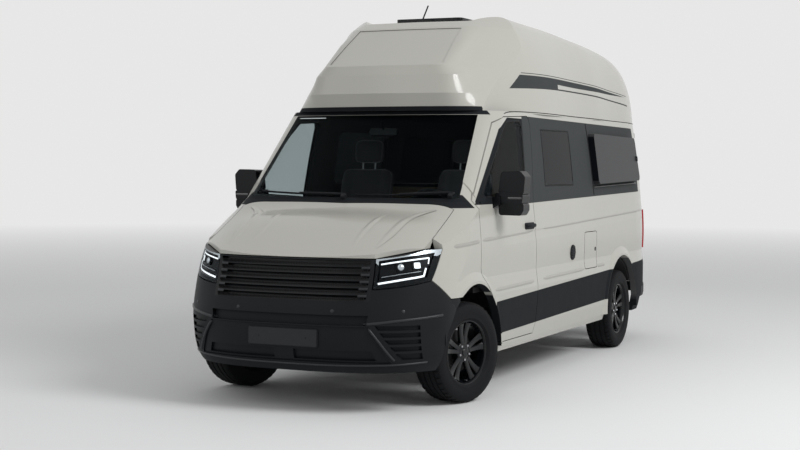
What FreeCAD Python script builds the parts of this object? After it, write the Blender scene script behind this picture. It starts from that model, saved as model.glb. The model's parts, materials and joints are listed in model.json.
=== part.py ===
import FreeCAD, Part
import math
import os

import Sketcher
from FreeCAD import Placement, Rotation, Vector

# Camper van with a high roof. Millimetres, Z up, the front towards -Y, the vehicle's left is +X.
# The origin is on the ground, at mid length, on the centre plane.

SIZES = {
    # whole vehicle
    "front_axle_y": -2002.0,
    "rear_axle_y": 1638.0,
    "wheel_plane_x": 877.0,
    "wall": 45.0,
    "seam": 6.0,
    "seat_gap": 0.3,
    # cross-section of the body side, half widths at their heights
    "half_sill": 985.0,
    "half_stripe": 1008.0,
    "half_waist": 992.0,
    "half_belt": 975.0,
    "half_window": 937.0,
    "half_gutter": 884.0,
    "sill_z": 345.0,
    "stripe_low_z": 450.0,
    "stripe_top_z": 735.0,
    "waist_z": 870.0,
    "belt_z": 1390.0,
    "window_mid_z": 1740.0,
    "gutter_z": 2085.0,
    # wheels
    "tyre_radius": 357.0,
    "tyre_width": 235.0,
    "rim_radius": 226.0,
    "rim_width": 178.0,
    "front_arch_radius": 488.0,
    "rear_arch_radius": 478.0,
    "arch_centre_z": 352.0,
    "rear_arch_centre_z": 376.0,
    "steer_rest": -16.0,
    "kingpin_x": 800.0,
    # cab door
    "door_front_y": -1866.0,
    "door_rear_y": -684.0,
    "door_top_z": 2058.0,
    "cab_rear_y": -592.0,
    # rear end
    "rear_face_y": 2965.0,
    "rear_bumper_step": 27.0,
    "rear_seam_x": 790.0,
    "leaf_front_y": 2860.0,
    # windscreen
    "screen_base_y": -2055.0,
    "screen_base_z": 1412.0,
    "screen_half_base": 850.0,
    "screen_half_top": 762.0,
    # roof
    "roof_shoulder_z": 2860.0,
    "roof_middle_z": 2800.0,
    # floor and frame
    "floor_top_z": 650.0,
    "floor_thick": 60.0,
    "rail_x": 420.0,
    "rail_width": 80.0,
    "rail_low_z": 430.0,
}


class Size:
    """A length that knows its value and the sheet expression it stands for."""

    def __init__(self, value, text):
        self.value = float(value)
        self.text = text

    def __add__(self, other):
        other = as_size(other)
        return Size(self.value + other.value, "(%s + %s)" % (self.text, other.text))

    def __radd__(self, other):
        return as_size(other) + self

    def __sub__(self, other):
        other = as_size(other)
        return Size(self.value - other.value, "(%s - %s)" % (self.text, other.text))

    def __rsub__(self, other):
        return as_size(other) - self

    def __mul__(self, other):
        other = as_size(other)
        return Size(self.value * other.value, "(%s * %s)" % (self.text, other.text))

    def __rmul__(self, other):
        return as_size(other) * self

    def __truediv__(self, other):
        other = as_size(other)
        return Size(self.value / other.value, "(%s / %s)" % (self.text, other.text))

    def __neg__(self):
        return Size(-self.value, "(0 - %s)" % self.text)

    def __float__(self):
        return self.value


def as_size(number):
    if isinstance(number, Size):
        return number
    return Size(number, "(%r)" % float(number))


doc = FreeCAD.newDocument("camper_van")
sheet = doc.addObject("Spreadsheet::Sheet", "sizes")


class Sheet:
    """The driving dimensions, one attribute for each alias."""


S = Sheet()
for row, (alias, number) in enumerate(SIZES.items(), start=1):
    sheet.set("A%d" % row, alias)
    sheet.set("B%d" % row, repr(number))
    sheet.setAlias("B%d" % row, alias)
doc.recompute()
for alias in SIZES:
    setattr(S, alias, Size(sheet.get(alias), "sizes.%s" % alias))

ROLES = {"XY": "XY_Plane", "XZ": "XZ_Plane", "YZ": "YZ_Plane"}
TURNS = {
    "XY": Rotation(),
    "XZ": Rotation(Vector(1, 0, 0), 90),
    "YZ": Rotation(Vector(1, 1, 1), 120),
}
AXES = {"XY": Vector(0, 0, 1), "XZ": Vector(0, 1, 0), "YZ": Vector(1, 0, 0)}
SUBPARTS = {}


def outline(sketch, points):
    """Draw a closed polygon whose corners are bound to the sheet."""
    corners = [(as_size(a), as_size(b)) for a, b in points]
    count = len(corners)
    for index in range(count):
        first = corners[index]
        second = corners[(index + 1) % count]
        sketch.addGeometry(Part.LineSegment(
            Vector(first[0].value, first[1].value, 0),
            Vector(second[0].value, second[1].value, 0)))
    for index in range(count):
        sketch.addConstraint(Sketcher.Constraint("Coincident", index, 2, (index + 1) % count, 1))
    for index, corner in enumerate(corners):
        for kind, coordinate in zip(("DistanceX", "DistanceY"), corner):
            number = sketch.addConstraint(
                Sketcher.Constraint(kind, -1, 1, index, 1, coordinate.value))
            sketch.setExpression("Constraints[%d]" % number, coordinate.text)


def prism(name, plane, points, low, high):
    """A polygon in one plane, carried from low to high along that plane's axis."""
    sketch = doc.addObject("Sketcher::SketchObject", name + "_outline")
    sketch.Placement = Placement(Vector(0, 0, 0), TURNS[plane])
    outline(sketch, points)
    solid = doc.addObject("Part::Extrusion", name)
    solid.Base = sketch
    solid.DirMode = "Custom"
    solid.Dir = AXES[plane]
    solid.Solid = True
    solid.setExpression("LengthFwd", as_size(high).text)
    solid.setExpression("LengthRev", (-as_size(low)).text)
    return solid


def rounded_prism(name, plane, points, low, high, radius):
    """A pad on one of the origin planes with every corner of its outline rounded."""
    low, high = as_size(low), as_size(high)
    body = doc.addObject("PartDesign::Body", name)
    sketch = body.newObject("Sketcher::SketchObject", name + "_outline")
    support = [item for item in body.Origin.OriginFeatures if item.Role == ROLES[plane]][0]
    sketch.AttachmentSupport = [(support, "")]
    sketch.MapMode = "FlatFace"
    start = -high if plane == "XZ" else low
    sketch.setExpression("AttachmentOffset.Base.z", start.text)
    outline(sketch, points)
    pad = body.newObject("PartDesign::Pad", name + "_pad")
    pad.Profile = sketch
    pad.setExpression("Length", (high - low).text)
    doc.recompute()
    axis = AXES[plane]
    edges = []
    for index, edge in enumerate(pad.Shape.Edges, start=1):
        if abs(edge.tangentAt(edge.FirstParameter).dot(axis)) > 0.999:
            edges.append("Edge%d" % index)
    rounding = body.newObject("PartDesign::Fillet", name + "_round")
    rounding.Base = (pad, edges)
    rounding.setExpression("Radius", as_size(radius).text)
    body.Tip = rounding
    return body


def box(name, low, high):
    """A block between two corners, each coordinate bound to the sheet."""
    low = [as_size(item) for item in low]
    high = [as_size(item) for item in high]
    block = doc.addObject("Part::Box", name)
    for side, first, last in zip(("Length", "Width", "Height"), low, high):
        block.setExpression(side, (last - first).text)
    for axis, first in zip("xyz", low):
        block.setExpression("Placement.Base.%s" % axis, first.text)
    return block


def rod(name, centre, radius, length, direction):
    """A cylinder from its start point along a direction."""
    item = doc.addObject("Part::Cylinder", name)
    item.setExpression("Radius", as_size(radius).text)
    item.setExpression("Height", as_size(length).text)
    item.Placement = Placement(Vector(0, 0, 0), Rotation(Vector(0, 0, 1), Vector(*direction)))
    for axis, coordinate in zip("xyz", centre):
        item.setExpression("Placement.Base.%s" % axis, as_size(coordinate).text)
    return item


def cut(name, base, *tools):
    result = base
    for number, tool in enumerate(tools, start=1):
        step = doc.addObject("Part::Cut", "%s_cut_%d" % (name, number))
        step.Base = result
        step.Tool = tool
        result = step
    return result


def join(name, *items):
    if len(items) == 1:
        return items[0]
    result = doc.addObject("Part::MultiFuse", name + "_joined")
    result.Shapes = list(items)
    return result


def shared(name, *items):
    result = doc.addObject("Part::MultiCommon", name + "_shared")
    result.Shapes = list(items)
    return result


def loose(name, *items):
    """Like pieces that don't touch, kept in one node."""
    result = doc.addObject("Part::Compound", name + "_set")
    result.Links = list(items)
    return result


def mirrored(name, item):
    result = doc.addObject("Part::Mirroring", name + "_mirror")
    result.Source = item
    result.Normal = Vector(1, 0, 0)
    result.Base = Vector(0, 0, 0)
    return result


def fixed_shape(name, shape):
    item = doc.addObject("Part::Feature", name)
    item.Shape = shape
    item.Placement = shape.Placement
    return item


def subpart(label, item):
    """Names an object as one exported piece."""
    item.Label = label
    SUBPARTS[label] = item
    return item


# Envelopes of the body shell

def spline(points):
    curve = Part.BSplineCurve()
    curve.interpolate([Vector(*point) for point in points])
    return curve.toShape()


def closed(edges):
    return Part.Wire(edges)


def line(first, second):
    return Part.makeLine(Vector(*first), Vector(*second))


def both_sides(points):
    """Mirror a half curve given from the centre outwards."""
    left = [(-x, second) for x, second in reversed(points) if x > 0]
    return left + list(points)


def plan_wire(points, z, back):
    """A closed plan curve: a symmetric front line, then straight sides to a line at the back."""
    curve = [(x, y, z) for x, y in both_sides(points)]
    first = curve[0]
    last = curve[-1]
    return closed([
        spline(curve),
        line(last, (last[0], back, z)),
        line((last[0], back, z), (first[0], back, z)),
        line((first[0], back, z), first)])


def cross_wire(points, y, top):
    """A closed cross-section: a symmetric line below, a flat line above."""
    curve = [(x, y, z) for x, z in both_sides(points)]
    first = curve[0]
    last = curve[-1]
    return closed([
        spline(curve),
        line(last, (last[0], y, top)),
        line((last[0], y, top), (first[0], y, top)),
        line((first[0], y, top), first)])


def section_wire(inset, y):
    """Cross-section of the body sides at one place along the length."""
    top = S.gutter_z.value
    folds = [
        (S.half_sill.value - inset, S.sill_z.value),
        (S.half_stripe.value - inset, S.stripe_low_z.value),
        (S.half_stripe.value - inset, S.stripe_top_z.value),
        (S.half_waist.value - inset, S.waist_z.value)]
    curve = [
        (S.half_waist.value - inset, S.waist_z.value),
        (S.half_waist.value - inset + 2, (S.waist_z.value + S.belt_z.value) / 2),
        (S.half_belt.value - inset, S.belt_z.value),
        (S.half_window.value - inset, S.window_mid_z.value),
        (S.half_gutter.value - inset, top)]
    low = S.sill_z.value - 120
    edges = []
    start = (-folds[0][0] + 40, 0, low)
    edges.append(line(start, (folds[0][0] - 40, 0, low)))
    edges.append(line((folds[0][0] - 40, 0, low), (folds[0][0], 0, folds[0][1])))
    for first, second in zip(folds, folds[1:]):
        edges.append(line((first[0], 0, first[1]), (second[0], 0, second[1])))
    edges.append(spline([(x, 0, z) for x, z in curve]))
    edges.append(line((curve[-1][0], 0, top), (-curve[-1][0], 0, top)))
    edges.append(spline([(-x, 0, z) for x, z in reversed(curve)]))
    for first, second in zip(reversed(folds), list(reversed(folds))[1:]):
        edges.append(line((-first[0], 0, first[1]), (-second[0], 0, second[1])))
    edges.append(line((-folds[0][0], 0, folds[0][1]), start))
    wire = closed(edges)
    wire.translate(Vector(0, y, 0))
    return wire


def side_section(inset):
    """The straight run of the body sides, drawn in by the wall's thickness."""
    return Part.Face(section_wire(inset, -3200)).extrude(Vector(0, 6400, 0))


def tapered_section(inset, rear):
    """The body sides, straight and then narrowing towards the rear corners."""
    start = REAR_TAPER[0][0]
    straight = Part.Face(section_wire(inset, -3200)).extrude(Vector(0, 3200 + start, 0))
    wires = [section_wire(inset + narrowing, y) for y, narrowing in REAR_TAPER if y < rear]
    before, after = REAR_TAPER[len(wires) - 1:len(wires) + 1] if len(wires) < len(REAR_TAPER) else (
        REAR_TAPER[-2], REAR_TAPER[-1])
    share_of_step = (rear - before[0]) / (after[0] - before[0])
    last = before[1] + (after[1] - before[1]) * share_of_step
    wires.append(section_wire(inset + last, rear))
    return straight.fuse(Part.makeLoft(wires, True, False))


REAR_TAPER = [
    (2100, 0), (2200, 2), (2300, 9), (2400, 20), (2500, 38), (2650, 78), (2790, 119), (2880, 150),
    (2925, 180), (2950, 215), (2966, 270)]

FRONT_PLANS = [
    (225, [(0, -2850), (400, -2830), (600, -2770), (745, -2670), (820, -2560), (880, -2440), (930, -2200), (1060, -1700)]),
    (285, [(0, -2915), (400, -2893), (620, -2822), (770, -2722), (856, -2608), (915, -2480), (965, -2250), (1060, -1700)]),
    (350, [(0, -2955), (400, -2932), (635, -2858), (800, -2748), (893, -2618), (955, -2485), (992, -2260), (1060, -1700)]),
    (450, [(0, -2985), (400, -2962), (645, -2885), (815, -2768), (915, -2624), (975, -2485), (1004, -2280), (1060, -1700)]),
    (600, [(0, -2990), (400, -2966), (650, -2888), (825, -2768), (931, -2624), (990, -2485), (1010, -2300), (1060, -1700)]),
    (735, [(0, -2968), (400, -2942), (640, -2866), (815, -2752), (924, -2618), (984, -2475), (1006, -2290), (1060, -1700)]),
    (850, [(0, -2930), (400, -2900), (600, -2845), (795, -2738), (916, -2598), (974, -2445), (1002, -2200), (1060, -1700)]),
    (1060, [(0, -2872), (400, -2845), (600, -2795), (775, -2700), (874, -2572), (940, -2430), (993, -2150), (1060, -1700)]),
    (1500, [(0, -2760), (400, -2735), (600, -2690), (775, -2600), (874, -2475), (940, -2340), (993, -2080), (1060, -1700)]),
]

BONNET_SECTIONS = [
    (-3150, [(0, 900), (300, 897), (600, 885), (860, 840), (1000, 780), (1150, 700)]),
    (-2872, [(0, 1050), (300, 1048), (600, 1040), (860, 990), (1000, 915), (1150, 800)]),
    (-2564, [(0, 1218), (300, 1213), (600, 1185), (860, 1105), (960, 1050), (1150, 900)]),
    (-2300, [(0, 1322), (300, 1317), (600, 1296), (860, 1228), (960, 1165), (1150, 1010)]),
    (-2060, [(0, 1408), (300, 1406), (600, 1397), (860, 1352), (960, 1285), (1150, 1140)]),
    (-1940, [(0, 1560), (300, 1555), (600, 1540), (860, 1430), (960, 1345), (1150, 1220)]),
    (-1830, [(0, 1760), (300, 1750), (600, 1700), (860, 1520), (960, 1410), (1150, 1300)]),
]

SCREEN_BASE = [(0, -2055), (300, -2047), (600, -2020), (850, -1964), (925, -1880), (972, -1760), (1150, -1450)]
SCREEN_TOP = [(0, -1425), (300, -1417), (500, -1398), (762, -1335), (845, -1255), (890, -1150), (1100, -880)]

NOSE_PLANS = [
    (2085, [(0, -1482), (400, -1458), (600, -1424), (740, -1362), (800, -1268), (850, -1150), (876, -1030), (1000, -560)]),
    (2215, [(0, -1508), (400, -1480), (598, -1437), (690, -1330), (770, -1180), (830, -1030), (874, -850), (1000, -450)]),
    (2355, [(0, -1470), (400, -1442), (570, -1398), (640, -1265), (720, -1115), (790, -980), (845, -830), (1000, -380)]),
    (2430, [(0, -1440), (350, -1420), (505, -1381), (575, -1280), (650, -1150), (730, -995), (815, -820), (1000, -350)]),
    (2620, [(0, -1140), (350, -1125), (520, -1090), (575, -1000), (640, -880), (725, -710), (790, -560), (1000, -100)]),
    (2760, [(0, -920), (350, -905), (470, -882), (560, -800), (640, -680), (740, -510), (800, -390), (1000, -10)]),
    (2890, [(0, -640), (350, -625), (440, -600), (540, -500), (640, -380), (740, -210), (800, -90), (1000, 250)]),
]


def body_envelope(inset, lift):
    """The closed outer form of the lower body and cab, or the hollow inside it."""
    form = tapered_section(inset, S.rear_face_y.value - inset)
    factor = 1 - inset / 1000.0
    front = Part.makeLoft([
        plan_wire([(x * factor, y + inset) for x, y in points], z, 3300)
        for z, points in FRONT_PLANS], True, False)
    above = Part.makeBox(2600, 6700, 800, Vector(-1300, -3400, 1440))
    form = form.common(front.fuse(above))
    screen = screen_space(inset * 1.3)
    form = form.cut(screen)
    bonnet = Part.makeLoft([
        cross_wire([(x, z - lift) for x, z in points], y, 2400)
        for y, points in BONNET_SECTIONS], True, False)
    return form.cut(bonnet)


def screen_space(back):
    """The space in front of the raked windscreen and its pillars."""
    low = S.screen_base_z.value
    high = S.gutter_z.value
    rise = 60.0
    slope = rise / (high - low)
    base = [(x, y + back) for x, y in SCREEN_BASE]
    top = []
    for (base_x, base_y), (top_x, top_y) in zip(SCREEN_BASE, SCREEN_TOP):
        top.append((top_x + (top_x - base_x) * slope, top_y + back + (top_y - base_y) * slope))
    base = sorted(base)
    top = sorted(top)
    return Part.makeLoft([
        plan_wire(base, low, -3400),
        plan_wire(top, high + rise, -3400)], True, True)


ROOF_RUN = [
    (-1700, 2860, 0), (-500, 2860, 0), (300, 2840, 0), (1011, 2812, 0), (1472, 2790, 0), (2059, 2747, 0),
    (2407, 2703, 21), (2600, 2668, 63), (2719, 2636, 97), (2850, 2560, 140), (2925, 2430, 180),
    (2962, 2200, 250)]


def roof_section(inset, y, shoulder, narrowing):
    """Cross-section of the high roof at one place along the length."""
    low = S.gutter_z.value
    top = S.roof_shoulder_z.value - inset
    middle = S.roof_middle_z.value - inset
    height = (shoulder - low) / (S.roof_shoulder_z.value - low)
    curve = [
        (S.half_gutter.value - inset, low),
        (876 - inset, 2200), (850 - inset, 2420), (806 - inset, 2600),
        (738 - inset, 2748 - inset * 0.6), (668 - inset, top - 32), (605 - inset * 0.8, top),
        (540, top - 14), (470, middle + 8), (400, middle)]
    half = [(x - narrowing, y, low + (z - low) * height) for x, z in curve]
    points = half + [(0, y, low + (middle - low) * height)]
    left = [(-x, y, z) for x, y, z in reversed(half)]
    return closed([
        spline(points + left),
        line(left[-1], points[0])])


def roof_envelope(inset):
    """The outer form of the high roof, or the headroom inside it."""
    form = Part.makeLoft([
        roof_section(inset, y - (inset if y > 2000 else 0), shoulder, narrowing)
        for y, shoulder, narrowing in ROOF_RUN], True, False)
    factor = 1 - inset / 1000.0
    nose = Part.makeLoft([
        plan_wire([(x * factor, y + inset * 1.2) for x, y in points], z, 3400)
        for z, points in NOSE_PLANS], True, True)
    return form.common(nose)


def side_features(form):
    """The raised rings over the wheel arches and the crease along the sides."""
    plan = Part.makePolygon([Vector(x, y, 350) for x, y in (
        (960, -2480), (984, -2480), (1010, -2340), (1022, -2200), (1022, 2600), (960, 2600), (960, -2480))])
    limit = Part.Face(plan).extrude(Vector(0, 0, 650))
    for y, z, radius in (
            (S.front_axle_y.value, S.arch_centre_z.value, S.front_arch_radius.value),
            (S.rear_axle_y.value, S.rear_arch_centre_z.value, S.rear_arch_radius.value)):
        ring = Part.makeCone(radius + 115, radius + 20, 41, Vector(980, y, z), Vector(1, 0, 0))
        ring = ring.common(limit)
        form = form.fuse([ring, ring.mirror(Vector(0, 0, 0), Vector(1, 0, 0))])
    triangles = []
    for y, depth, x in ((-1750, -2, 994), (-1400, 7, 994), (2400, 7, 990)):
        z = 1149 + (y + 1540) * 0.0275
        triangles.append(Part.makePolygon([
            Vector(x - depth, y, z), Vector(x + 30, y, z + 6), Vector(x + 30, y, z - 317),
            Vector(x - depth, y, z)]))
    wedge = Part.makeLoft(triangles, True, True)
    return form.cut([wedge, wedge.mirror(Vector(0, 0, 0), Vector(1, 0, 0))])


outer = fixed_shape("outer_form", side_features(body_envelope(0, 0)))
inner = fixed_shape("inner_form", body_envelope(S.wall.value, 28))
shell = cut("shell", outer, inner)
front_block = outer.Shape.common(Part.makeBox(2600, 900, 900, Vector(-1300, -3200, 230)))


def set_back(by):
    """The front face moved back by a step, for the depths of the parts let into it."""
    shape = front_block.copy()
    shape.translate(Vector(0, by, 0))
    return fixed_shape("front_back_%d" % round(by * 10), shape)
pane_core = fixed_shape("pane_core", side_section(8))
pane_skin = cut("pane_skin", outer, pane_core)

# Regions that split the shell, as outlines seen from the side

seam = S.seam
arch_y = S.front_axle_y
front_arch = rod("front_arch", (-1100, arch_y, S.arch_centre_z), S.front_arch_radius, 2200, (1, 0, 0))
rear_arch = rod("rear_arch", (-1100, S.rear_axle_y, S.rear_arch_centre_z), S.rear_arch_radius, 2200, (1, 0, 0))
WIDE = 1300

door_outline = [
    (S.door_front_y + 235, 372), (S.door_rear_y - 73, 372), (S.door_rear_y - 73, 400),
    (S.door_rear_y - 6, 640), (S.door_rear_y, 760), (S.door_rear_y - 16, 1050),
    (S.door_rear_y - 42, 1374), (S.door_rear_y + 40, 1800), (S.door_rear_y + 70, 1985),
    (S.door_rear_y + 62, S.door_top_z - 18),
    (S.door_rear_y + 30, S.door_top_z), (-1180, S.door_top_z - 20), (-1330, 1990),
    (-1870, 1420), (S.door_front_y - 8, 1330), (S.door_front_y, 1150), (S.door_front_y, 940), (S.door_front_y + 20, 880),
    (S.door_front_y + 225, 680)]


def grown(points, by, centre):
    """The outline moved out from a centre by about the same step on each side."""
    result = []
    for y, z in points:
        y, z = as_size(y), as_size(z)
        step_y = by if y.value > centre[0] else -by
        step_z = by if z.value > centre[1] else -by
        result.append((y + step_y, z + step_z))
    return result


door_zone = prism("door_zone", "YZ", door_outline, -WIDE, WIDE)
door_hole = prism("door_hole", "YZ", grown(door_outline, S.seam, (-1250, 1150)), -WIDE, WIDE)
left_half = box("left_half", (300, -3200, 100), (1300, 3200, 2300))
right_half = box("right_half", (-1300, -3200, 100), (-300, 3200, 2300))

door_window_outline = [
    (-1775, 1448), (-885, 1405), (-812, 1980), (-840, 2020), (-1145, 2004), (-1290, 1898)]
door_window = rounded_prism("door_window", "YZ", door_window_outline, -WIDE, WIDE, 28)
door_glass_edge = rounded_prism(
    "door_glass_edge", "YZ", grown(door_window_outline, -0.3, (-1200, 1700)), -WIDE, WIDE, 28)


def cab_doors():
    """Front doors with their window openings, glass and mirrors."""
    for side, half in (("left", left_half), ("right", right_half)):
        leaf = shared("door_" + side, shell, door_zone, half)
        panel = cut("door_panel_" + side, leaf, front_arch, door_window)
        subpart("door_panel_" + side, panel)
        glass = shared("door_glass_" + side, pane_skin, door_glass_edge, half)
        subpart("door_glass_" + side, glass)
    head = rounded_prism(
        "mirror_head", "XZ",
        [(1005, 1470), (1203, 1460), (1213.5, 1592), (1176, 1634), (1028, 1630)], -1572, -1440, 24)
    band = rounded_prism(
        "mirror_band", "XZ", [(990, 1402), (1196, 1396), (1203, 1466), (990, 1476)], -1586, -1428, 14)
    low = rounded_prism(
        "mirror_low", "XZ", [(1015, 1312), (1182, 1310), (1204, 1348), (1204, 1402), (1005, 1408)],
        -1572, -1444, 22)
    arm = prism("mirror_arm", "XZ", [(960, 1352), (1030, 1392), (1030, 1450), (950, 1440)], -1600, -1480)
    mirror = join("mirror_body", head, band, low, arm)
    trimmed = cut("mirror", mirror, outer)
    subpart("mirror_left", trimmed)
    subpart("mirror_right", mirrored("mirror_right", trimmed))


screen_zone = prism("screen_zone", "XZ", [
    (-(S.screen_half_base), 1436), (S.screen_half_base, 1436),
    (S.screen_half_top, 2052), (-(S.screen_half_top), 2052)], -2300, -1200)
screen_glass_zone = prism("screen_glass_zone", "XZ", [
    (0.3 - S.screen_half_base, 1436.3), (S.screen_half_base - 0.3, 1436.3),
    (S.screen_half_top - 0.3, 2051.7), (0.3 - S.screen_half_top, 2051.7)], -2300, -1200)

bonnet_zone = prism("bonnet_zone", "XY", [
    (-852, -2050), (-852, -2560), (-600, -2795), (-400, -2852), (0, -2878), (400, -2852),
    (600, -2795), (852, -2560), (852, -2050), (600, -2062), (0, -2078), (-600, -2062)], 1000, 1500)
bonnet_hole = prism("bonnet_hole", "XY", [
    (-858, -2044), (-858, -2563), (-602, -2801), (-401, -3000), (401, -3000),
    (602, -2801), (858, -2563), (858, -2044), (600, -2056), (0, -2072), (-600, -2056)], 900, 1500)
front_low = prism("front_low", "YZ", [
    (-3200, 282), (-3200, 840), (-2833, 840), (-2577, 894), (-2415, 760), (-2300, 760), (-2300, 282)],
    -WIDE, WIDE)
lamp_zone = prism("lamp_zone", "YZ", [
    (-3200, 846), (-2833, 846), (-2573, 900), (-2425, 1104), (-2425, 1400), (-3200, 1400)], 606, WIDE)
lamp_cover = prism("lamp_cover", "YZ", [
    (-3200, 1044), (-2790, 1044), (-2564, 1100), (-2425, 1104), (-2425, 1500), (-3200, 1500)],
    -WIDE, WIDE)
grille_zone = prism("grille_zone", "YZ", [
    (-3200, 764), (-2700, 764), (-2700, 1042), (-3200, 1042)], -600, 600)
cab_region = box("cab_region", (-WIDE, -2075, 1310), (WIDE, S.cab_rear_y, 2085))
cab_low = box("cab_low", (-WIDE, -1866, 300), (WIDE, S.cab_rear_y, 1311))


def wing_region():
    """The wing as seen from the side, from the lamp to the front edge of the door."""
    return prism("wing_zone", "YZ", [
        (-2573, 900), (-2410, 766), (-2300, 766), (-1800, 766), (-1800, 690),
        (S.door_front_y + 225, 690), (S.door_front_y + 40, 880), (S.door_front_y + 15, 1150),
        (S.door_front_y + 5, 1326), (-1900, 1440), (-2420, 1440), (-2420, 1102)], -WIDE, WIDE)


def front_pocket(name, outlines, depth):
    """Pockets of one even depth let into the front face, their outlines seen from the front."""
    zones = [prism("%s_%d" % (name, number), "XZ", points, -3200, -2400)
             for number, points in enumerate(outlines)]
    return cut(name, join(name, *zones), set_back(depth))


def front_end():
    """Bonnet, wings, lamps, grille and bumper, all parts of one closed form."""
    under = prism("bonnet_under", "YZ", [
        (-3200, 840), (-3200, 1048), (-2790, 1048), (-2564, 1106), (-2419, 1110), (-2419, 840)],
        -WIDE, WIDE)
    bonnet = cut("bonnet", shared("bonnet_form", shell, bonnet_zone), under)
    subpart("bonnet", bonnet)
    wing = cut("wings", shared("wing_shell", shell, wing_region()), bonnet_hole, front_arch,
               cab_region, door_hole)
    pins = []
    for sign in (1, -1):
        for z in (940, 1045):
            pins.append(rod("door_pin_%d_%d" % (sign + 1, z),
                            (sign * 965, S.door_front_y - S.seam / 2, z), S.seam / 2 - S.seat_gap,
                            90, (0, 0, 1)))
        pins.append(rod("bonnet_pin_%d" % (sign + 1), (sign * 855, -2135, 1308),
                        S.seam / 2 - S.seat_gap, 35, (0, 1, 0)))
    sides = loose(
        "wings", shared("wing_left", wing, left_half), shared("wing_right", wing, right_half), *pins)
    subpart("wings", sides)
    bumper = cut("front_bumper", shared("bumper_shell", shell, front_low), front_arch,
                 prism("grille_gap", "YZ", [(-3200, 763.7), (-2600, 763.7), (-2600, 1100), (-3200, 1100)],
                       -600.3, 600.3))
    panel = front_pocket("plate_panel", [[(-728, 352), (728, 352), (607, 598), (-607, 598)]], 10)
    openings = [[(-585, 606), (585, 606), (600, 673), (-600, 673)]]
    for side in (1, -1):
        openings.append([(side * 75, 370), (side * 640, 370), (side * 612, 436), (side * 75, 436)])
        for low, inner_low, inner_top in ((376, 785, 760), (435, 749, 729), (482, 721, 701),
                                          (529, 691, 671), (576, 660, 643)):
            top = low + 30 if low > 400 else low + 42
            openings.append([(side * inner_low, low), (side * 888, low), (side * 888, top), (side * inner_top, top)])
    subpart("front_bumper", cut(
        "front_bumper_form", bumper, panel, front_pocket("intake", openings, 30)))
    lamp = cut("lamp", shared("lamp_shell", shell, lamp_zone), lamp_cover)
    lens = cut("lamp_lens", lamp, set_back(4))
    bowl = front_pocket("lamp_bowl", [[(624, 868), (896, 922), (905, 1082), (850, 1072), (624, 1032)]], 36)
    house = cut("lamp_house", shared("lamp_back", lamp, set_back(4.3)), bowl)
    lamps = [lens, house, mirrored("lens_right", lens), mirrored("house_right", house)]
    subpart("headlamps", loose("headlamps", *lamps))
    gaps = [[(-572, low), (572, low), (578, low + 27), (-578, low + 27)]
            for low in (778, 824, 870, 916, 962, 1008)]
    subpart("grille", cut(
        "grille_bars", shared("grille", shell, grille_zone), front_pocket("grille_gap", gaps, 35)))


def cab():
    """Windscreen frame, pillars and sills of the cab, and the windscreen."""
    upper = shared("cab_upper", shell, join("cab_zone", cab_region, cab_low))
    frame = cut("cab_frame", upper, door_hole, screen_zone, bonnet_hole, front_arch,
                shared("wing_leg", wing_region(), cab_low))
    subpart("cab_frame", frame)
    pane_back = fixed_shape("pane_back", screen_space(11))
    pane = shared("windscreen", outer, pane_back, screen_glass_zone)
    subpart("windscreen", pane)


side_zone = box("side_zone", (-WIDE, S.cab_rear_y, 300), (WIDE, 3100, 2084.7))
leaf_x = S.rear_seam_x - S.seam / 2
post_x = S.rear_seam_x + S.seam / 2
rear_opening = box("rear_opening", (-post_x, S.leaf_front_y - S.seam, 300), (post_x, 3200, 2200))
tail_gap = box("tail_gap", (post_x - 30, 2850, 864), (1200, 3200, 1243))
tail_gap_right = box("tail_gap_right", (-1200, 2850, 864), (30 - post_x, 3200, 1243))
bumper_zone = prism("rear_bumper_zone", "YZ", [
    (2330, 420), (2330, 514), (2690, 514), (2690, 815), (3200, 815), (3200, 420)], -WIDE, WIDE)
bumper_gap = prism("rear_bumper_gap", "YZ", [
    (2329.7, 300), (2329.7, 514.3), (2689.7, 514.3), (2689.7, 815.3), (3200, 815.3), (3200, 300)],
    -WIDE, WIDE)
mid_points = [(-405, 1515), (310, 1515), (328, 1962), (-372, 1960)]
awning_points = [(872, 1516), (2195, 1540), (2160, 1940), (872, 1958)]
mid_window_left = rounded_prism("mid_window_left", "YZ", mid_points, 500, WIDE, 55)
rear_window = rounded_prism(
    "rear_window", "YZ", grown(awning_points, -22, (1400, 1750)), -WIDE, WIDE, 40)


def rear_pins(sign):
    """Hinge pins of one rear door, in the gap beside its outer edge."""
    return [rod("rear_pin_%d_%d" % (sign + 1, z), (sign * S.rear_seam_x, 2928, z),
                S.seam / 2 - S.seat_gap, 110, (0, 0, 1)) for z in (620, 1290)]


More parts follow.
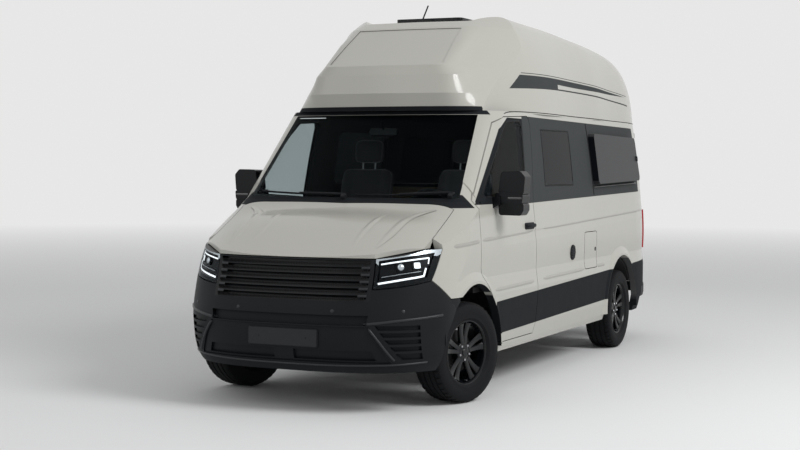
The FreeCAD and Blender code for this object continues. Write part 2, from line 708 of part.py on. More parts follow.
def living_sides():
    """Side walls behind the cab with their windows, and the sliding door on the right."""
    wall_left = cut("side_wall_left", shared("left_shell", shell, side_zone, left_half),
                    rear_arch, mid_window_left, rear_window, rear_opening, tail_gap, bumper_gap)
    flap_outline = [(548, 792), (890, 792), (890, 1102), (548, 1102)]
    flap_edge = rounded_prism("flap_edge", "YZ", flap_outline, 500, WIDE, 25)
    flap_hole = rounded_prism("flap_hole", "YZ", grown(flap_outline, S.seam, (700, 950)), 500, WIDE, 29)
    flap_core = fixed_shape("flap_core", side_section(24))
    subpart("service_flap", cut("service_flap", shared("flap_form", outer, flap_edge), flap_core))
    wall_left = cut("side_wall_left_open", wall_left, flap_hole)
    flap_pin = rod("flap_pin", (978, 545, 880), S.seam / 2 - S.seat_gap, 120, (0, 0, 1))
    pins_left = rear_pins(1)
    subpart("side_wall_left", loose("side_wall_left", wall_left, flap_pin, *pins_left))
    slide_outline = [(-560, 372), (700, 372), (700, 1000), (770, 1200), (740, 2040), (-560, 2040)]
    slide_zone = prism("slide_zone", "YZ", slide_outline, -WIDE, 0)
    slide_hole = prism("slide_hole", "YZ", grown(slide_outline, 0.3, (0, 1200)), -WIDE, 0)
    wall_right = cut("side_wall_right", shared("right_shell", shell, side_zone, right_half),
                     rear_arch, rear_window, slide_hole, rear_opening, tail_gap_right, bumper_gap)
    subpart("side_wall_right", loose("side_wall_right", wall_right, *rear_pins(-1)))
    slide_window = rounded_prism(
        "slide_window", "YZ", [(-440, 1515), (560, 1528), (550, 1962), (-430, 1958)], -WIDE, 0, 55)
    slide = cut("sliding_door", shared("slide_shell", shell, slide_zone, right_half), slide_window)
    subpart("sliding_door", slide)
    panes = []
    for name, points, low, high, half in (
            ("mid_pane_left", mid_points, 500, WIDE, left_half),
            ("slide_pane", [(-440, 1515), (560, 1528), (550, 1962), (-430, 1958)], -WIDE, 0, right_half)):
        edge = rounded_prism(name + "_edge", "YZ", grown(points, -0.3, (0, 1740)), low, high, 55)
        panes.append(shared(name, pane_skin, edge, half))
    proud = cut("proud_pane", prism(
        "proud_form", "XZ", [(930, 1505), (1024, 1505), (963, 1962), (850, 1962)], 860, 2210), outer)
    edge = rounded_prism(
        "rear_pane_edge", "YZ", grown(awning_points, -22.3, (1400, 1750)), 500, WIDE, 40)
    proud_edge = rounded_prism("proud_edge", "YZ", awning_points, 500, WIDE, 45)
    pane = join("rear_pane", shared("rear_pane_in", pane_skin, edge, left_half),
                shared("rear_pane_out", proud, proud_edge))
    panes.append(pane)
    panes.append(mirrored("rear_pane_right", pane))
    subpart("side_windows", loose("side_windows", *panes))


def rear_end():
    """Rear doors with their windows, rear bumper and tail lamps."""
    for side, sign in (("left", 1), ("right", -1)):
        low, high = (S.seam / 2, leaf_x) if sign > 0 else (-leaf_x, -(S.seam / 2))
        zone = box("rear_leaf_" + side, (low, S.leaf_front_y, 520), (high, 3100, 2079))
        outline_points = [(sign * 120, 1420), (sign * 690, 1420), (sign * 632, 1900), (sign * 120, 1900)]
        hole = rounded_prism("rear_hole_" + side, "XZ", outline_points, 2800, 3100, 45)
        panel = cut("rear_door_" + side, shared("rear_panel_" + side, shell, zone), hole)
        subpart("rear_door_" + side, panel)
        edge = rounded_prism("rear_edge_" + side, "XZ",
                             [(x - sign * 0.3 if abs(x) > 500 else x + sign * 0.3,
                               z + (0.3 if z < 1600 else -0.3)) for x, z in outline_points],
                             S.rear_face_y - 18, S.rear_face_y - 4, 45)
        subpart("rear_glass_" + side, shared("rear_glass_" + side, edge, outer))
    door_gap = box("bumper_door_gap", (-post_x, 2600, 514), (post_x, 3200, 900))
    proud = outer.Shape.common(Part.makeBox(2600, 900, 360, Vector(-1300, 2250, 380)))
    proud.translate(Vector(0, S.rear_bumper_step.value, 0))
    step = shared("bumper_step", fixed_shape("bumper_proud", proud),
                  box("bumper_bar", (-WIDE, 2330, 420), (WIDE, 3200, 514)))
    corners = cut("bumper_corners", shared("rear_bumper_form", shell, bumper_zone), door_gap)
    subpart("rear_bumper", join("rear_bumper", corners, cut("rear_bar", step, inner)))
    tail = outer.Shape.common(Part.makeBox(2600, 300, 500, Vector(-1300, 2800, 800)))
    tail.translate(Vector(20, 0, 0))
    lamp = cut("tail_lamp", shared(
        "tail_lamp_form", fixed_shape("tail_proud", tail),
        box("tail_zone", (post_x, 2850.3, 864.3), (1100, 3100, 1242.7))), inner)
    subpart("tail_lamps", loose("tail_lamps", lamp, mirrored("tail_right", lamp)))


def roof():
    """High roof shell with its hatch, vents and antenna."""
    shape = roof_envelope(0)
    hollow = roof_envelope(40)
    roof_outer = fixed_shape("roof_outer", shape)
    roof_inner = fixed_shape("roof_inner", hollow)
    opening = box("hatch_opening", (-250, -520, 2600), (250, -20, 3000))
    front = shape.common(Part.makeBox(1400, 1000, 500, Vector(-700, -1600, 2400)))
    front.translate(Vector(0, 9, 0))
    panel = prism("nose_panel", "XZ", [(-478, 2448), (478, 2448), (440, 2745), (-440, 2745)], -1600, -700)
    recess = cut("nose_recess", panel, fixed_shape("nose_back", front))
    skin = cut("high_roof", roof_outer, roof_inner, opening, recess)
    subpart("high_roof", skin)
    kerb_out = rounded_prism("kerb_out", "XY", [(-300, -570), (300, -570), (300, 30), (-300, 30)],
                             S.roof_middle_z - 40, S.roof_middle_z + 30, 40)
    kerb_in = box("kerb_in", (-250, -520, 2700), (250, -20, 3000))
    kerb = cut("roof_kerb", kerb_out, kerb_in, roof_outer)
    vent = rounded_prism("roof_vent", "XY", [(-200, 1500), (200, 1500), (200, 1900), (-200, 1900)],
                         2640, S.roof_middle_z - 35, 40)
    vent_top = cut("vent_top", vent, roof_outer)
    base = rod("antenna_base", (0, -700, S.roof_middle_z - 8), 38, 25, (0, 0, 1))
    whip = rod("antenna_whip", (0, -700, S.roof_middle_z + 10), 6, 210, (0, 0.55, 0.62))
    antenna = cut("antenna", join("antenna", base, whip), roof_outer)
    lid_pin = rod("lid_pin", (-200, -5, S.roof_middle_z + 33), S.seam / 2 - S.seat_gap, 400, (1, 0, 0))
    subpart("roof_fittings", loose("roof_fittings", kerb, vent_top, antenna, lid_pin))
    lid = rounded_prism("hatch_lid", "XY", [(-290, -560), (290, -560), (290, 20), (-290, 20)],
                        S.roof_middle_z + 36, S.roof_middle_z + 66, 40)
    subpart("roof_hatch_lid", lid)


def floor_and_frame():
    """Floor, frame rails, wheel boxes and the tanks slung under the floor."""
    top = S.floor_top_z
    floor = box("floor_plate", (-955, -1090, top - S.floor_thick), (955, 2880, top))
    cab_floor = box("cab_floor", (-930, -1860, 760), (930, -1091, 800))
    heel = box("cab_heel", (-930, -1100, top - S.floor_thick), (930, -1060, 800))
    rails = []
    for sign in (1, -1):
        low = sign * S.rail_x - S.rail_width / 2
        rails.append(box("rail_%d" % (sign + 1), (low, -3100, S.rail_low_z),
                         (low + S.rail_width, 2855, top - S.floor_thick)))
    cross = [box("cross_%d" % n, (-420, y, 440), (420, y + 90, 560))
             for n, y in enumerate((-2700, -900, 400, 2300))]
    posts = [box("post_%d" % (n + 1), (n * 430 - 40, -1860, 560), (n * 430 + 40, -1100, 770))
             for n in (-1, 1)]
    wells = []
    for sign in (1, -1):
        start = 700 if sign > 0 else -960
        well_out = rod("well_out_%d" % sign, (start, S.rear_axle_y, 376), 474, 260, (1, 0, 0))
        wells.append(shared("well_%d" % sign, well_out,
                            box("well_zone_%d" % sign, (-990, 1100, top - 60), (990, 2200, 900))))
    solid = join("chassis", floor, cab_floor, heel, *rails, *cross, *posts, *wells)
    space = rod("well_space", (-1000, S.rear_axle_y, 376), 450, 2000, (1, 0, 0))
    middle = box("well_middle", (-715, 1000, 0), (715, 2300, 900))
    wheel_space = cut("wheel_space", space, middle)
    subpart("chassis", cut("chassis", shared("chassis_fit", solid, inner), wheel_space))
    tank = rounded_prism("water_tank", "XZ", [(480, 350), (880, 350), (880, 589.7), (480, 589.7)], -400, 700, 30)
    fuel = rounded_prism("fuel_tank", "XZ", [(-880, 350), (-480, 350), (-480, 589.7), (-880, 589.7)], -700, 300, 30)
    pipe = rod("exhaust_pipe", (250, -1200, 380), 35, 2500, (0, 1, 0))
    hanger = box("exhaust_hanger", (235, 1000, 400), (265, 1060, 589.7))
    hanger_front = box("exhaust_hanger_front", (235, -700, 400), (265, -640, 589.7))
    silencer = rod("silencer", (250, -300, 380), 90, 700, (0, 1, 0))
    subpart("underfloor", loose("underfloor", tank, fuel,
                                join("exhaust", pipe, silencer, hanger, hanger_front)))
    subpart("engine", box("engine_block", (-330, -2680, 560.3), (330, -1995, 1060)))
    mounts = join("front_axle", box("subframe", (-560, -2180, 300), (560, -1830, S.rail_low_z - S.seat_gap)),
                  box("arm_left", (540, -2030, 200), (S.kingpin_x + 30, -1974, 239.7)),
                  box("arm_right", (-30 - S.kingpin_x, -2030, 200), (-540, -1974, 239.7)),
                  box("knee_left", (520, -2060, 200), (560, -1940, 340)),
                  box("knee_right", (-560, -2060, 200), (-520, -1940, 340)),
                  box("upper_arm_left", (540, -2030, 474.3), (S.kingpin_x + 30, -1974, 510)),
                  box("upper_arm_right", (-30 - S.kingpin_x, -2030, 474.3), (-540, -1974, 510)),
                  rod("strut_left", (545, -2002, 350), 45, 600, (0, 0, 1)),
                  rod("strut_right", (-545, -2002, 350), 45, 600, (0, 0, 1)))
    axle = join("rear_axle", rod("axle_tube", (-740, S.rear_axle_y, S.tyre_radius), 50, 1480, (1, 0, 0)),
                rod("hub_stub", (-(S.wheel_plane_x + 19.7), S.rear_axle_y, S.tyre_radius), 38,
                    S.wheel_plane_x * 2 + 39.4, (1, 0, 0)),
                rod("brake_left", (780, S.rear_axle_y, S.tyre_radius), 150, 24, (1, 0, 0)),
                rod("brake_right", (-804, S.rear_axle_y, S.tyre_radius), 150, 24, (1, 0, 0)),
                rod("diff", (-150, S.rear_axle_y, S.tyre_radius), 150, 300, (1, 0, 0)),
                box("spring_left", (570, 1000, 395), (640, 2280, 425)),
                box("spring_right", (-640, 1000, 395), (-570, 2280, 425)),
                box("spring_eye_1", (460.3, 1000, 395), (640, 1060, 480)),
                box("spring_eye_2", (-640, 1000, 395), (-460.3, 1060, 480)),
                box("spring_eye_3", (460.3, 2220, 395), (640, 2280, 480)),
                box("spring_eye_4", (-640, 2220, 395), (-460.3, 2280, 480)))
    subpart("axles", loose("axles", mounts, axle))


def interior():
    """Dashboard, seats and the furniture of the living space."""
    dash = prism("dash_form", "YZ", [
        (-1990, 1000), (-1600, 1000), (-1560, 1150), (-1640, 1290), (-1900, 1370), (-1990, 1340)], -900, 900)
    rim = doc.addObject("Part::Torus", "steering_rim")
    rim.Radius1 = 190
    rim.Radius2 = 15
    turn = Rotation(Vector(1, 0, 0), -55)
    rim.Placement = Placement(Vector(430, -1390, 1330), turn)
    column = rod("column", (430, -1660, 1160), 32, 320, (0, 0.83, 0.53))
    hub = rod("wheel_hub", (430, -1412, 1310), 190, 22, (0, 0.82, 0.57))
    subpart("dashboard", join("dashboard", cut("dash", dash, inner_gap()), column, hub, rim))
    seats = []
    for sign in (1, -1):
        x = 430 * sign
        base = box("seat_base_%d" % sign, (x - 200, -1330, 800.3), (x + 200, -920, 1010))
        cushion = rounded_prism("seat_cushion_%d" % sign, "XZ",
                                [(x - 240, 1000), (x + 240, 1000), (x + 240, 1130), (x - 240, 1130)],
                                -1390, -880, 45)
        back = rounded_prism("seat_back_%d" % sign, "YZ",
                             [(-960, 1060), (-850, 1060), (-700, 1640), (-790, 1660)], x - 230, x + 230, 35)
        head = rounded_prism("seat_head_%d" % sign, "XZ",
                             [(x - 130, 1680), (x + 130, 1680), (x + 130, 1880), (x - 130, 1880)],
                             -790, -700, 30)
        neck = box("seat_neck_%d" % sign, (x - 60, -765, 1600), (x + 60, -735, 1700))
        seats.append(join("seat_%d" % sign, base, cushion, back, head, neck))
    subpart("cab_seats", loose("cab_seats", *seats))
    wash = box("washroom", (60, 520, 650.3), (830, 1180, 2060))
    kitchen = box("kitchen", (-900, 420, 650.3), (-350, 1180, 1480))
    bed = prism("bed_base", "XY", [
        (-880, 1290), (880, 1290), (880, 2540), (800, 2780), (-800, 2780), (-880, 2540)], 1100, 1140)
    legs = [box("bed_leg_%d" % n, (x - 20, 1290, 650.3), (x + 20, 2780, 1110))
            for n, x in enumerate((-680, 680))]
    bench = box("bench", (200, -520, 650.3), (880, -60, 1080))
    subpart("furniture", loose("furniture", wash, kitchen, join("bed", bed, *legs), bench))
    mattress = rounded_prism("bed_mattress", "XY", [
        (-870, 1300), (870, 1300), (870, 2530), (790, 2770), (-790, 2770), (-870, 2530)], 1140.3, 1260, 40)
    subpart("mattress", mattress)


def inner_gap():
    """Everything outside the cab's hollow, so that the dashboard stays inside the shell."""
    block = box("outside_block", (-1300, -2400, 900), (1300, -1300, 1500))
    return cut("inner_gap", block, inner)


def wheel_parts(name, x, y, turn, front):
    """One wheel: knuckle or hub end, rim with spokes, and tyre, about the wheel's own axis."""
    radius = S.tyre_radius.value
    width = S.tyre_width.value
    rim_radius = S.rim_radius.value
    half = width / 2
    tyre_profile = [
        (rim_radius - 10, -half + 26), (rim_radius + 8, -half + 12), (rim_radius + 40, -half + 1),
        (rim_radius + 75, -half), (radius - 22, -half + 8), (radius - 5, -half + 26), (radius, -half + 60),
        (radius, half - 60), (radius - 5, half - 26), (radius - 22, half - 8), (rim_radius + 75, half),
        (rim_radius + 40, half - 1), (rim_radius + 8, half - 12), (rim_radius - 10, half - 26)]
    profile = Part.makePolygon([Vector(a, 0, r) for r, a in tyre_profile + [tyre_profile[0]]])
    tyre = Part.Face(profile).revolve(Vector(0, 0, 0), Vector(1, 0, 0), 360)
    rim_out = rim_radius - 10.3
    barrel = Part.makeCylinder(rim_out, S.rim_width.value, Vector(-S.rim_width.value / 2, 0, 0), Vector(1, 0, 0))
    barrel = barrel.cut(Part.makeCylinder(rim_out - 12, 400, Vector(-200, 0, 0), Vector(1, 0, 0)))
    rim_parts = [barrel]
    flange = Part.makeCylinder(rim_out + 10, 10, Vector(half - 25, 0, 0), Vector(1, 0, 0))
    flange = flange.cut(Part.makeCylinder(rim_out - 12, 40, Vector(half - 40, 0, 0), Vector(1, 0, 0)))
    rim_parts.append(Part.makeCylinder(75, 60, Vector(20, 0, 0), Vector(1, 0, 0)))
    for index in range(5):
        angle = 72.0 * index
        for lean in (-11.0, 11.0):
            spoke = Part.makeBox(34, 26, rim_out - 43, Vector(50, -13, 40))
            spoke.rotate(Vector(0, 0, 0), Vector(1, 0, 0), angle + lean)
            rim_parts.append(spoke)
    rim = rim_parts[0].fuse(rim_parts[1:])
    if x < 0:
        tyre = tyre.mirror(Vector(0, 0, 0), Vector(1, 0, 0))
        rim = rim.mirror(Vector(0, 0, 0), Vector(1, 0, 0))
    place = Placement(Vector(x, y, radius), Rotation(Vector(0, 0, 1), turn))
    if front:
        pivot = Vector(math.copysign(S.kingpin_x.value, x), y, 0)
        offset = Rotation(Vector(0, 0, 1), turn).multVec(Vector(x, y, radius) - pivot)
        place = Placement(pivot + offset, Rotation(Vector(0, 0, 1), turn))
    for part_name, shape in (("tyre_", tyre), ("rim_", rim)):
        item = doc.addObject("Part::Feature", part_name + name)
        item.Shape = shape
        item.Placement = place
        subpart(part_name + name, item)
    if front:
        sign = math.copysign(1, x)
        inward = S.kingpin_x.value - S.wheel_plane_x.value
        axle = Part.makeCylinder(30, 19.7 - inward, Vector(inward, 0, 0), Vector(1, 0, 0))
        disc = Part.makeCylinder(150, 24, Vector(-20, 0, 0), Vector(1, 0, 0))
        post = Part.makeCylinder(30, 234, Vector(inward, 0, -117), Vector(0, 0, 1))
        knuckle = axle.fuse([disc, post])
        if sign < 0:
            knuckle = knuckle.mirror(Vector(0, 0, 0), Vector(1, 0, 0))
        item = doc.addObject("Part::Feature", "knuckle_" + name.split("_")[1])
        item.Shape = knuckle
        item.Placement = place
        subpart("knuckle_" + name.split("_")[1], item)


def wheels():
    x = S.wheel_plane_x.value
    wheel_parts("front_left", x, S.front_axle_y.value, S.steer_rest.value, True)
    wheel_parts("front_right", -x, S.front_axle_y.value, S.steer_rest.value, True)
    wheel_parts("rear_left", x, S.rear_axle_y.value, 0, False)
    wheel_parts("rear_right", -x, S.rear_axle_y.value, 0, False)


cab_doors()
front_end()
cab()
living_sides()
rear_end()
roof()
floor_and_frame()
interior()
wheels()

doc.recompute()
problems = []
for item in doc.Objects:
    if "Invalid" in item.State or "Error" in item.State:
        problems.append("%s failed: %s" % (item.Name, item.State))
for label, item in SUBPARTS.items():
    shape = item.Shape
    if shape.isNull() or not shape.isValid() or not shape.Solids:
        problems.append("%s has no valid solid" % label)
if problems:
    raise RuntimeError("; ".join(problems))
os.makedirs("parts", exist_ok=True)
for label, item in SUBPARTS.items():
    shape = item.Shape
    print("%-18s solids %2d  volume %8.2f l" % (label, len(shape.Solids), shape.Volume / 1e6))
    shape.exportStep("parts/%s.step" % label)
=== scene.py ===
"""Camper van: finishes, glass, trim and studio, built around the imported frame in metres."""
import json
import logging
import math
from collections.abc import Callable, Sequence
from dataclasses import dataclass
from enum import Enum
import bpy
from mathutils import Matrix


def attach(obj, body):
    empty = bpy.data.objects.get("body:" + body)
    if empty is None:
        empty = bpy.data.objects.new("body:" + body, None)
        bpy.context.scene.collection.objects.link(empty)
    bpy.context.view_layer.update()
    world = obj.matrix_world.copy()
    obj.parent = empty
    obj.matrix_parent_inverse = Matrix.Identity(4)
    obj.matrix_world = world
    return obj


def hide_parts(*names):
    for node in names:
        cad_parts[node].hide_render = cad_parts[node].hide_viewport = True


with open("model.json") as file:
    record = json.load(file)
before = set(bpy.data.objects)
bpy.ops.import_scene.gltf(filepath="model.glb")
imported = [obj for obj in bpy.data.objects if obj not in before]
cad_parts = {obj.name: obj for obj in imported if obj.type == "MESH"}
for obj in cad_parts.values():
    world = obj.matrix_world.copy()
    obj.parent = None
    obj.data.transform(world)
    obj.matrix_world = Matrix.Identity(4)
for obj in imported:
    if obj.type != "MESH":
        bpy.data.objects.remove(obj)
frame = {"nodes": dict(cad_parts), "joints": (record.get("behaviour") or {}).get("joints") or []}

from fnmatch import fnmatch

import bmesh
import bpy
from mathutils import Matrix, Vector
from mathutils.bvhtree import BVHTree

Pair = tuple[float, float]
Point = tuple[float, float, float]
Color = tuple[float, float, float]
Levels = Sequence[Pair]
SIDES = {"left": 1, "right": -1}
UP = (0, 0, 1)
REARWARD = (0, 1, 0)
LOW_PLATE: Levels = ((-0.002, 0), (0.003, 0), (0.005, 0.003))
BOSS: Levels = ((-0.002, 0), (0.006, 0), (0.009, 0.003))
PANEL: Levels = ((-0.002, 0), (0.012, 0), (0.016, 0.004))
HOLDER: Levels = ((-0.03, 0), (0.01, 0), (0.014, 0.004))
FACE: Levels = ((0.013, 0), (0.0155, 0.001))
SPOT = 0.0004
log = logging.getLogger("camper")


def _operator(operation: str, swapped: bool = False) -> Callable:
    """The method of a signal that adds one Math node.

    Args:
        operation: What the node does.
        swapped: Whether the other value comes first, as in a reflected form.

    Returns:
        The method.
    """
    def apply(self: "Signal", other: object = 0.0) -> "Signal":
        """Adds the node for this value and another."""
        values = (other, self) if swapped else (self, other)
        return self.graph.node("ShaderNodeMath", {"operation": operation}, dict(enumerate(values)))

    return apply


@dataclass(frozen=True)
class Signal:
    """One output socket of a material's nodes, with the operators of shader maths."""

    graph: "Graph"
    socket: bpy.types.NodeSocket | None

    __add__ = __radd__ = _operator("ADD")
    __sub__ = _operator("SUBTRACT")
    __rsub__ = _operator("SUBTRACT", swapped=True)
    __mul__ = __rmul__ = _operator("MULTIPLY")
    __truediv__ = _operator("DIVIDE")
    __pow__ = _operator("POWER")
    __mod__ = _operator("FLOORED_MODULO")
    __abs__ = _operator("ABSOLUTE")
    highest = _operator("MAXIMUM")
    sine = _operator("SINE")

    def clamped(self) -> "Signal":
        """The value kept between 0 and 1."""
        return self.graph.node("ShaderNodeMath", {"operation": "ADD", "use_clamp": True}, {0: self, 1: 0.0})


class Graph:
    """A material and its nodes, built by expressions."""

    def __init__(self, name: str, tree: bpy.types.NodeTree | None = None) -> None:
        """Starts an empty material, or empties the node tree that is given."""
        if tree is None:
            self.material = bpy.data.materials.new(name)
            self.material.use_nodes = True
            tree = self.material.node_tree
        self.tree = tree
        self.tree.nodes.clear()

    def node(self, kind: str, settings: dict | None = None, values: dict | None = None,
             output: int | str = 0) -> Signal:
        """Adds a node.

        Args:
            kind: The node's type.
            settings: Its properties, set first.
            values: Numbers, colours or signals for its input sockets, by name or place.
            output: The output socket that is wanted.

        Returns:
            That output as a signal.
        """
        made = self.tree.nodes.new(kind)
        for key, value in (settings or {}).items():
            setattr(made, key, value)
        for key, value in (values or {}).items():
            socket = made.inputs[key]
            if isinstance(value, Signal):
                self.tree.links.new(value.socket, socket)
            else:
                socket.default_value = (*value, 1.0) if socket.type == "RGBA" else value
        return Signal(self, made.outputs[output] if made.outputs else None)

    def mix(self, factor: object, first: object, second: object) -> Signal:
        """Mixes two colours: the first at factor 0 and the second at 1."""
        return self.node("ShaderNodeMix", {"data_type": "RGBA"}, {0: factor, 6: first, 7: second}, 2)

    def place(self) -> Signal:
        """Place of the surface in the frame, in metres."""
        return self.node("ShaderNodeTexCoord", output="Object")

    def axes(self) -> tuple[Signal, ...]:
        """The place's three parts: across, along and up."""
        split = self.node("ShaderNodeSeparateXYZ", values={0: self.place()})
        return tuple(Signal(self, output) for output in split.socket.node.outputs)

    def noise(self, scale: float, detail: float = 2.0, rough: float = 0.5) -> Signal:
        """Noise with so many waves a metre."""
        return self.node("ShaderNodeTexNoise", None,
                         {"Vector": self.place(), "Scale": scale, "Detail": detail, "Roughness": rough}, "Fac")

    def above(self, value: Signal, edge: object, soft: float = 0.002) -> Signal:
        """1 where the value is above the edge and 0 below it, over a soft width."""
        return ((value - edge) / soft + 0.5).clamped()

    def within(self, value: Signal, low: object, high: object) -> Signal:
        """1 where the value lies between two edges."""
        return self.above(value, low) * (1 - self.above(value, high))

    def surface(self, color: object, roughness: object, height: Signal | None = None, depth: float = 0.001,
                strength: float = 0.3, **fixed: object) -> Signal:
        """A principled surface.

        Args:
            color: Its base colour or a signal of it.
            roughness: Its roughness or a signal of it.
            height: Relief that the bump follows.
            depth: Depth of that relief in metres.
            strength: Share of the relief that shows.
            **fixed: Other sockets, with underscores for spaces.

        Returns:
            The shader.
        """
        values = {"Base Color": color, "Roughness": roughness}
        values.update({key.replace("_", " "): value for key, value in fixed.items()})
        if height is not None:
            values["Normal"] = self.node("ShaderNodeBump", None,
                                         {"Strength": strength, "Distance": depth, "Height": height}, "Normal")
        return self.node("ShaderNodeBsdfPrincipled", None, values, "BSDF")

    def end(self, shader: Signal) -> bpy.types.Material:
        """Joins the shader to the material's output and returns the material."""
        self.node("ShaderNodeOutputMaterial", None, {"Surface": shader})
        return self.material


@dataclass(frozen=True)
class Livery:
    """The painted marks of the van's sides and roof, in metres. A pair holds a front and a rear value."""

    stripe_ends: Pair = (-1.62, 2.99)
    stripe_span: Pair = (-1.5, 1.16)
    stripe_low: Pair = (0.441, 0.484)
    stripe_high: Pair = (0.68, 0.741)
    tail_start: float = 2.08
    band_span: Pair = (-0.6, 2.33)
    band_low: Pair = (1.386, 1.431)
    band_high: Pair = (2.059, 2.035)
    band_ends: Pair = (-0.885, 2.335)
    band_lean: Pair = (1.4, 0.17)
    field_heights: Pair = (1.392, 2.038)
    field_rear: float = -0.745
    field_fronts: tuple[Point, ...] = ((-1.862, 1.405, 0.955), (-1.385, 1.905, 0.46))
    roof_ends: Pair = (-0.86, 2.25)
    roof_lean: Pair = (2.27, 1.6)
    roof_low: Point = (2.302, 0.45, 0.018)
    roof_high: Point = (2.397, 0.1, 0.0155)
    roof_reach: float = 0.7
    inset_front: float = 0.17
    inset_top: Pair = (2.351, 0.01)
    line_gap: float = 0.012
    line_top: float = 0.018
    visor_heights: Pair = (2.054, 2.116)
    visor_rear: float = -1.3
    cowl_ends: Pair = (-2.085, -1.9)
    cowl_heights: Pair = (1.37, 1.462)

    @staticmethod
    def line(along: Signal, heights: Pair, span: Pair) -> Signal:
        """Height of a line that rises evenly from one end of a span to the other."""
        return (along - span[0]) * ((heights[1] - heights[0]) / (span[1] - span[0])) + heights[0]

    def stripe(self, graph: Graph) -> Signal:
        """1 on the dark stripe low on the sides, which widens to the foot behind the rear wheel."""
        _, along, up = graph.axes()
        low = self.line(along, self.stripe_low, self.stripe_span)
        low = low - graph.above(along, self.tail_start) * self.stripe_low[1]
        high = self.line(along, self.stripe_high, self.stripe_span)
        return graph.within(up, low, high) * graph.within(along, *self.stripe_ends)

    def band(self, graph: Graph) -> Signal:
        """1 on the dark band round the living space's windows."""
        _, along, up = graph.axes()
        low = self.line(along, self.band_low, self.band_span)
        high = self.line(along, self.band_high, self.band_span)
        front = (up - self.band_lean[0]) * self.band_lean[1] + self.band_ends[0]
        return graph.within(up, low, high) * graph.within(along, front, self.band_ends[1])

    def field(self, graph: Graph) -> Signal:
        """1 on the black field round the cab door's glass, which a lean and a cut corner bound in front."""
        _, along, up = graph.axes()
        inside = graph.within(up, *self.field_heights) * (1 - graph.above(along, self.field_rear))
        for start, height, slope in self.field_fronts:
            inside = inside * (1 - graph.above(up, (along - start) * slope + height))
        return inside

    def roof_stripe(self, graph: Graph) -> Signal:
        """1 on the dark wedge high on the roof's sides, with its pale inset and the thin line over it."""
        across, along, up = graph.axes()
        low, high = (crest - ((along - middle) ** 2) * sag
                     for crest, middle, sag in (self.roof_low, self.roof_high))
        front = (up - self.roof_lean[0]) * self.roof_lean[1] + self.roof_ends[0]
        inset = graph.within(up, low + self.line_gap, self.inset_top[0] - along * self.inset_top[1])
        wedge = graph.within(up, low, high) * (1 - inset * graph.above(along, self.inset_front))
        shown = wedge.highest(graph.within(up, high + self.line_gap, high + self.line_top))
        return shown * graph.within(along, front, self.roof_ends[1]) * graph.above(abs(across), self.roof_reach)

    def visor(self, graph: Graph) -> Signal:
        """1 on the black strip between the screen and the roof's nose."""
        _, along, up = graph.axes()
        return graph.within(up, *self.visor_heights) * (1 - graph.above(along, self.visor_rear))

    def cowl(self, graph: Graph) -> Signal:
        """1 on the black panel between the bonnet and the screen."""
        _, along, up = graph.axes()
        return graph.within(along, *self.cowl_ends) * graph.within(up, *self.cowl_heights)


@dataclass(frozen=True)
class Finish:
    """A material with one main colour. Each kind says how its surface is shaded."""

    name: str
    color: Color

    def tone(self, share: float, lift: float = 0.0) -> Color:
        """A deeper or paler form of the colour."""
        return tuple(part * share + lift for part in self.color)

    def shade(self, graph: Graph) -> Signal:
        """The shader of the surface."""
        raise NotImplementedError

    def build(self) -> bpy.types.Material:
        """The finished material."""
        graph = Graph(self.name)
        return graph.end(self.shade(graph))


@dataclass(frozen=True)
class Paint(Finish):
    """Coated body paint with a faint cloud, a fine orange peel and painted marks. Faces that look towards the
    middle wear the lining's colour, and the wheel arches are black."""

    middle: Point = (0.0, 0.6, 1.25)
    marks: tuple[tuple[Callable[[Graph], Signal], Color], ...] = ()
    lining: Color = (0.085, 0.085, 0.088)
    arch_color: Color = (0.0062, 0.008, 0.01)
    arches: tuple[Point, ...] = ((-2.002, 0.352, 0.49), (1.638, 0.36, 0.48))
    arch_reach: float = 1.019
    gloss_loss: float = 0.4

    def inward(self, graph: Graph) -> Signal:
        """1 on faces that look towards the middle of the van."""
        normal = graph.node("ShaderNodeTexCoord", output="Normal")
        kind = "ShaderNodeVectorMath"
        away = graph.node(kind, {"operation": "SUBTRACT"}, {0: graph.place(), 1: self.middle})
        facing = graph.node(kind, {"operation": "DOT_PRODUCT"}, {0: normal, 1: away}, "Value")
        return 1 - graph.above(facing, -0.05, 0.02)

    def wheel_room(self, graph: Graph) -> Signal:
        """1 inside the wheel arches."""
        across, along, up = graph.axes()
        front, rear = (1 - graph.above(((along - middle) ** 2 + (up - height) ** 2) ** 0.5, radius)
                       for middle, height, radius in self.arches)
        return (1 - graph.above(abs(across), self.arch_reach)) * front.highest(rear)

    def shade(self, graph: Graph) -> Signal:
        """The shader of the surface."""
        color = graph.mix(graph.noise(1.7, 3.0), self.tone(0.96), self.color)
        rough = 0.34 + graph.noise(9.0, 4.0) * 0.08
        layers = [(shown(graph), tint) for shown, tint in self.marks]
        layers += [(self.inward(graph), self.lining), (self.wheel_room(graph), self.arch_color)]
        dull = 0.0
        for mask, tint in layers:
            color = graph.mix(mask, color, tint)
            dull = mask.highest(dull)
        return graph.surface(color, rough + dull * self.gloss_loss, graph.noise(420.0, 1.0), 0.00006, 0.35,
                             Coat_Weight=0.55 * (1 - dull), Coat_Roughness=0.12, Specular_IOR_Level=0.16)


@dataclass(frozen=True)
class Plastic(Finish):
    """Moulded plastic with a fine grain."""

    roughness: float = 0.55
    grain_waves: float = 900.0
    grain_depth: float = 0.00025
    coat: float = 0.0
    gloss: float = 0.3

    def shade(self, graph: Graph) -> Signal:
        """The shader of the surface."""
        grain = graph.noise(self.grain_waves, 3.0, 0.6)
        cloud = graph.noise(2.3, 3.0)
        rough = (cloud * 0.1 + grain * 0.08 + (self.roughness - 0.09)).clamped()
        color = graph.mix(cloud, self.color, self.tone(1.25))
        return graph.surface(color, rough, grain, self.grain_depth, 0.5, Coat_Weight=self.coat,
                             Coat_Roughness=0.08, Specular_IOR_Level=self.gloss)


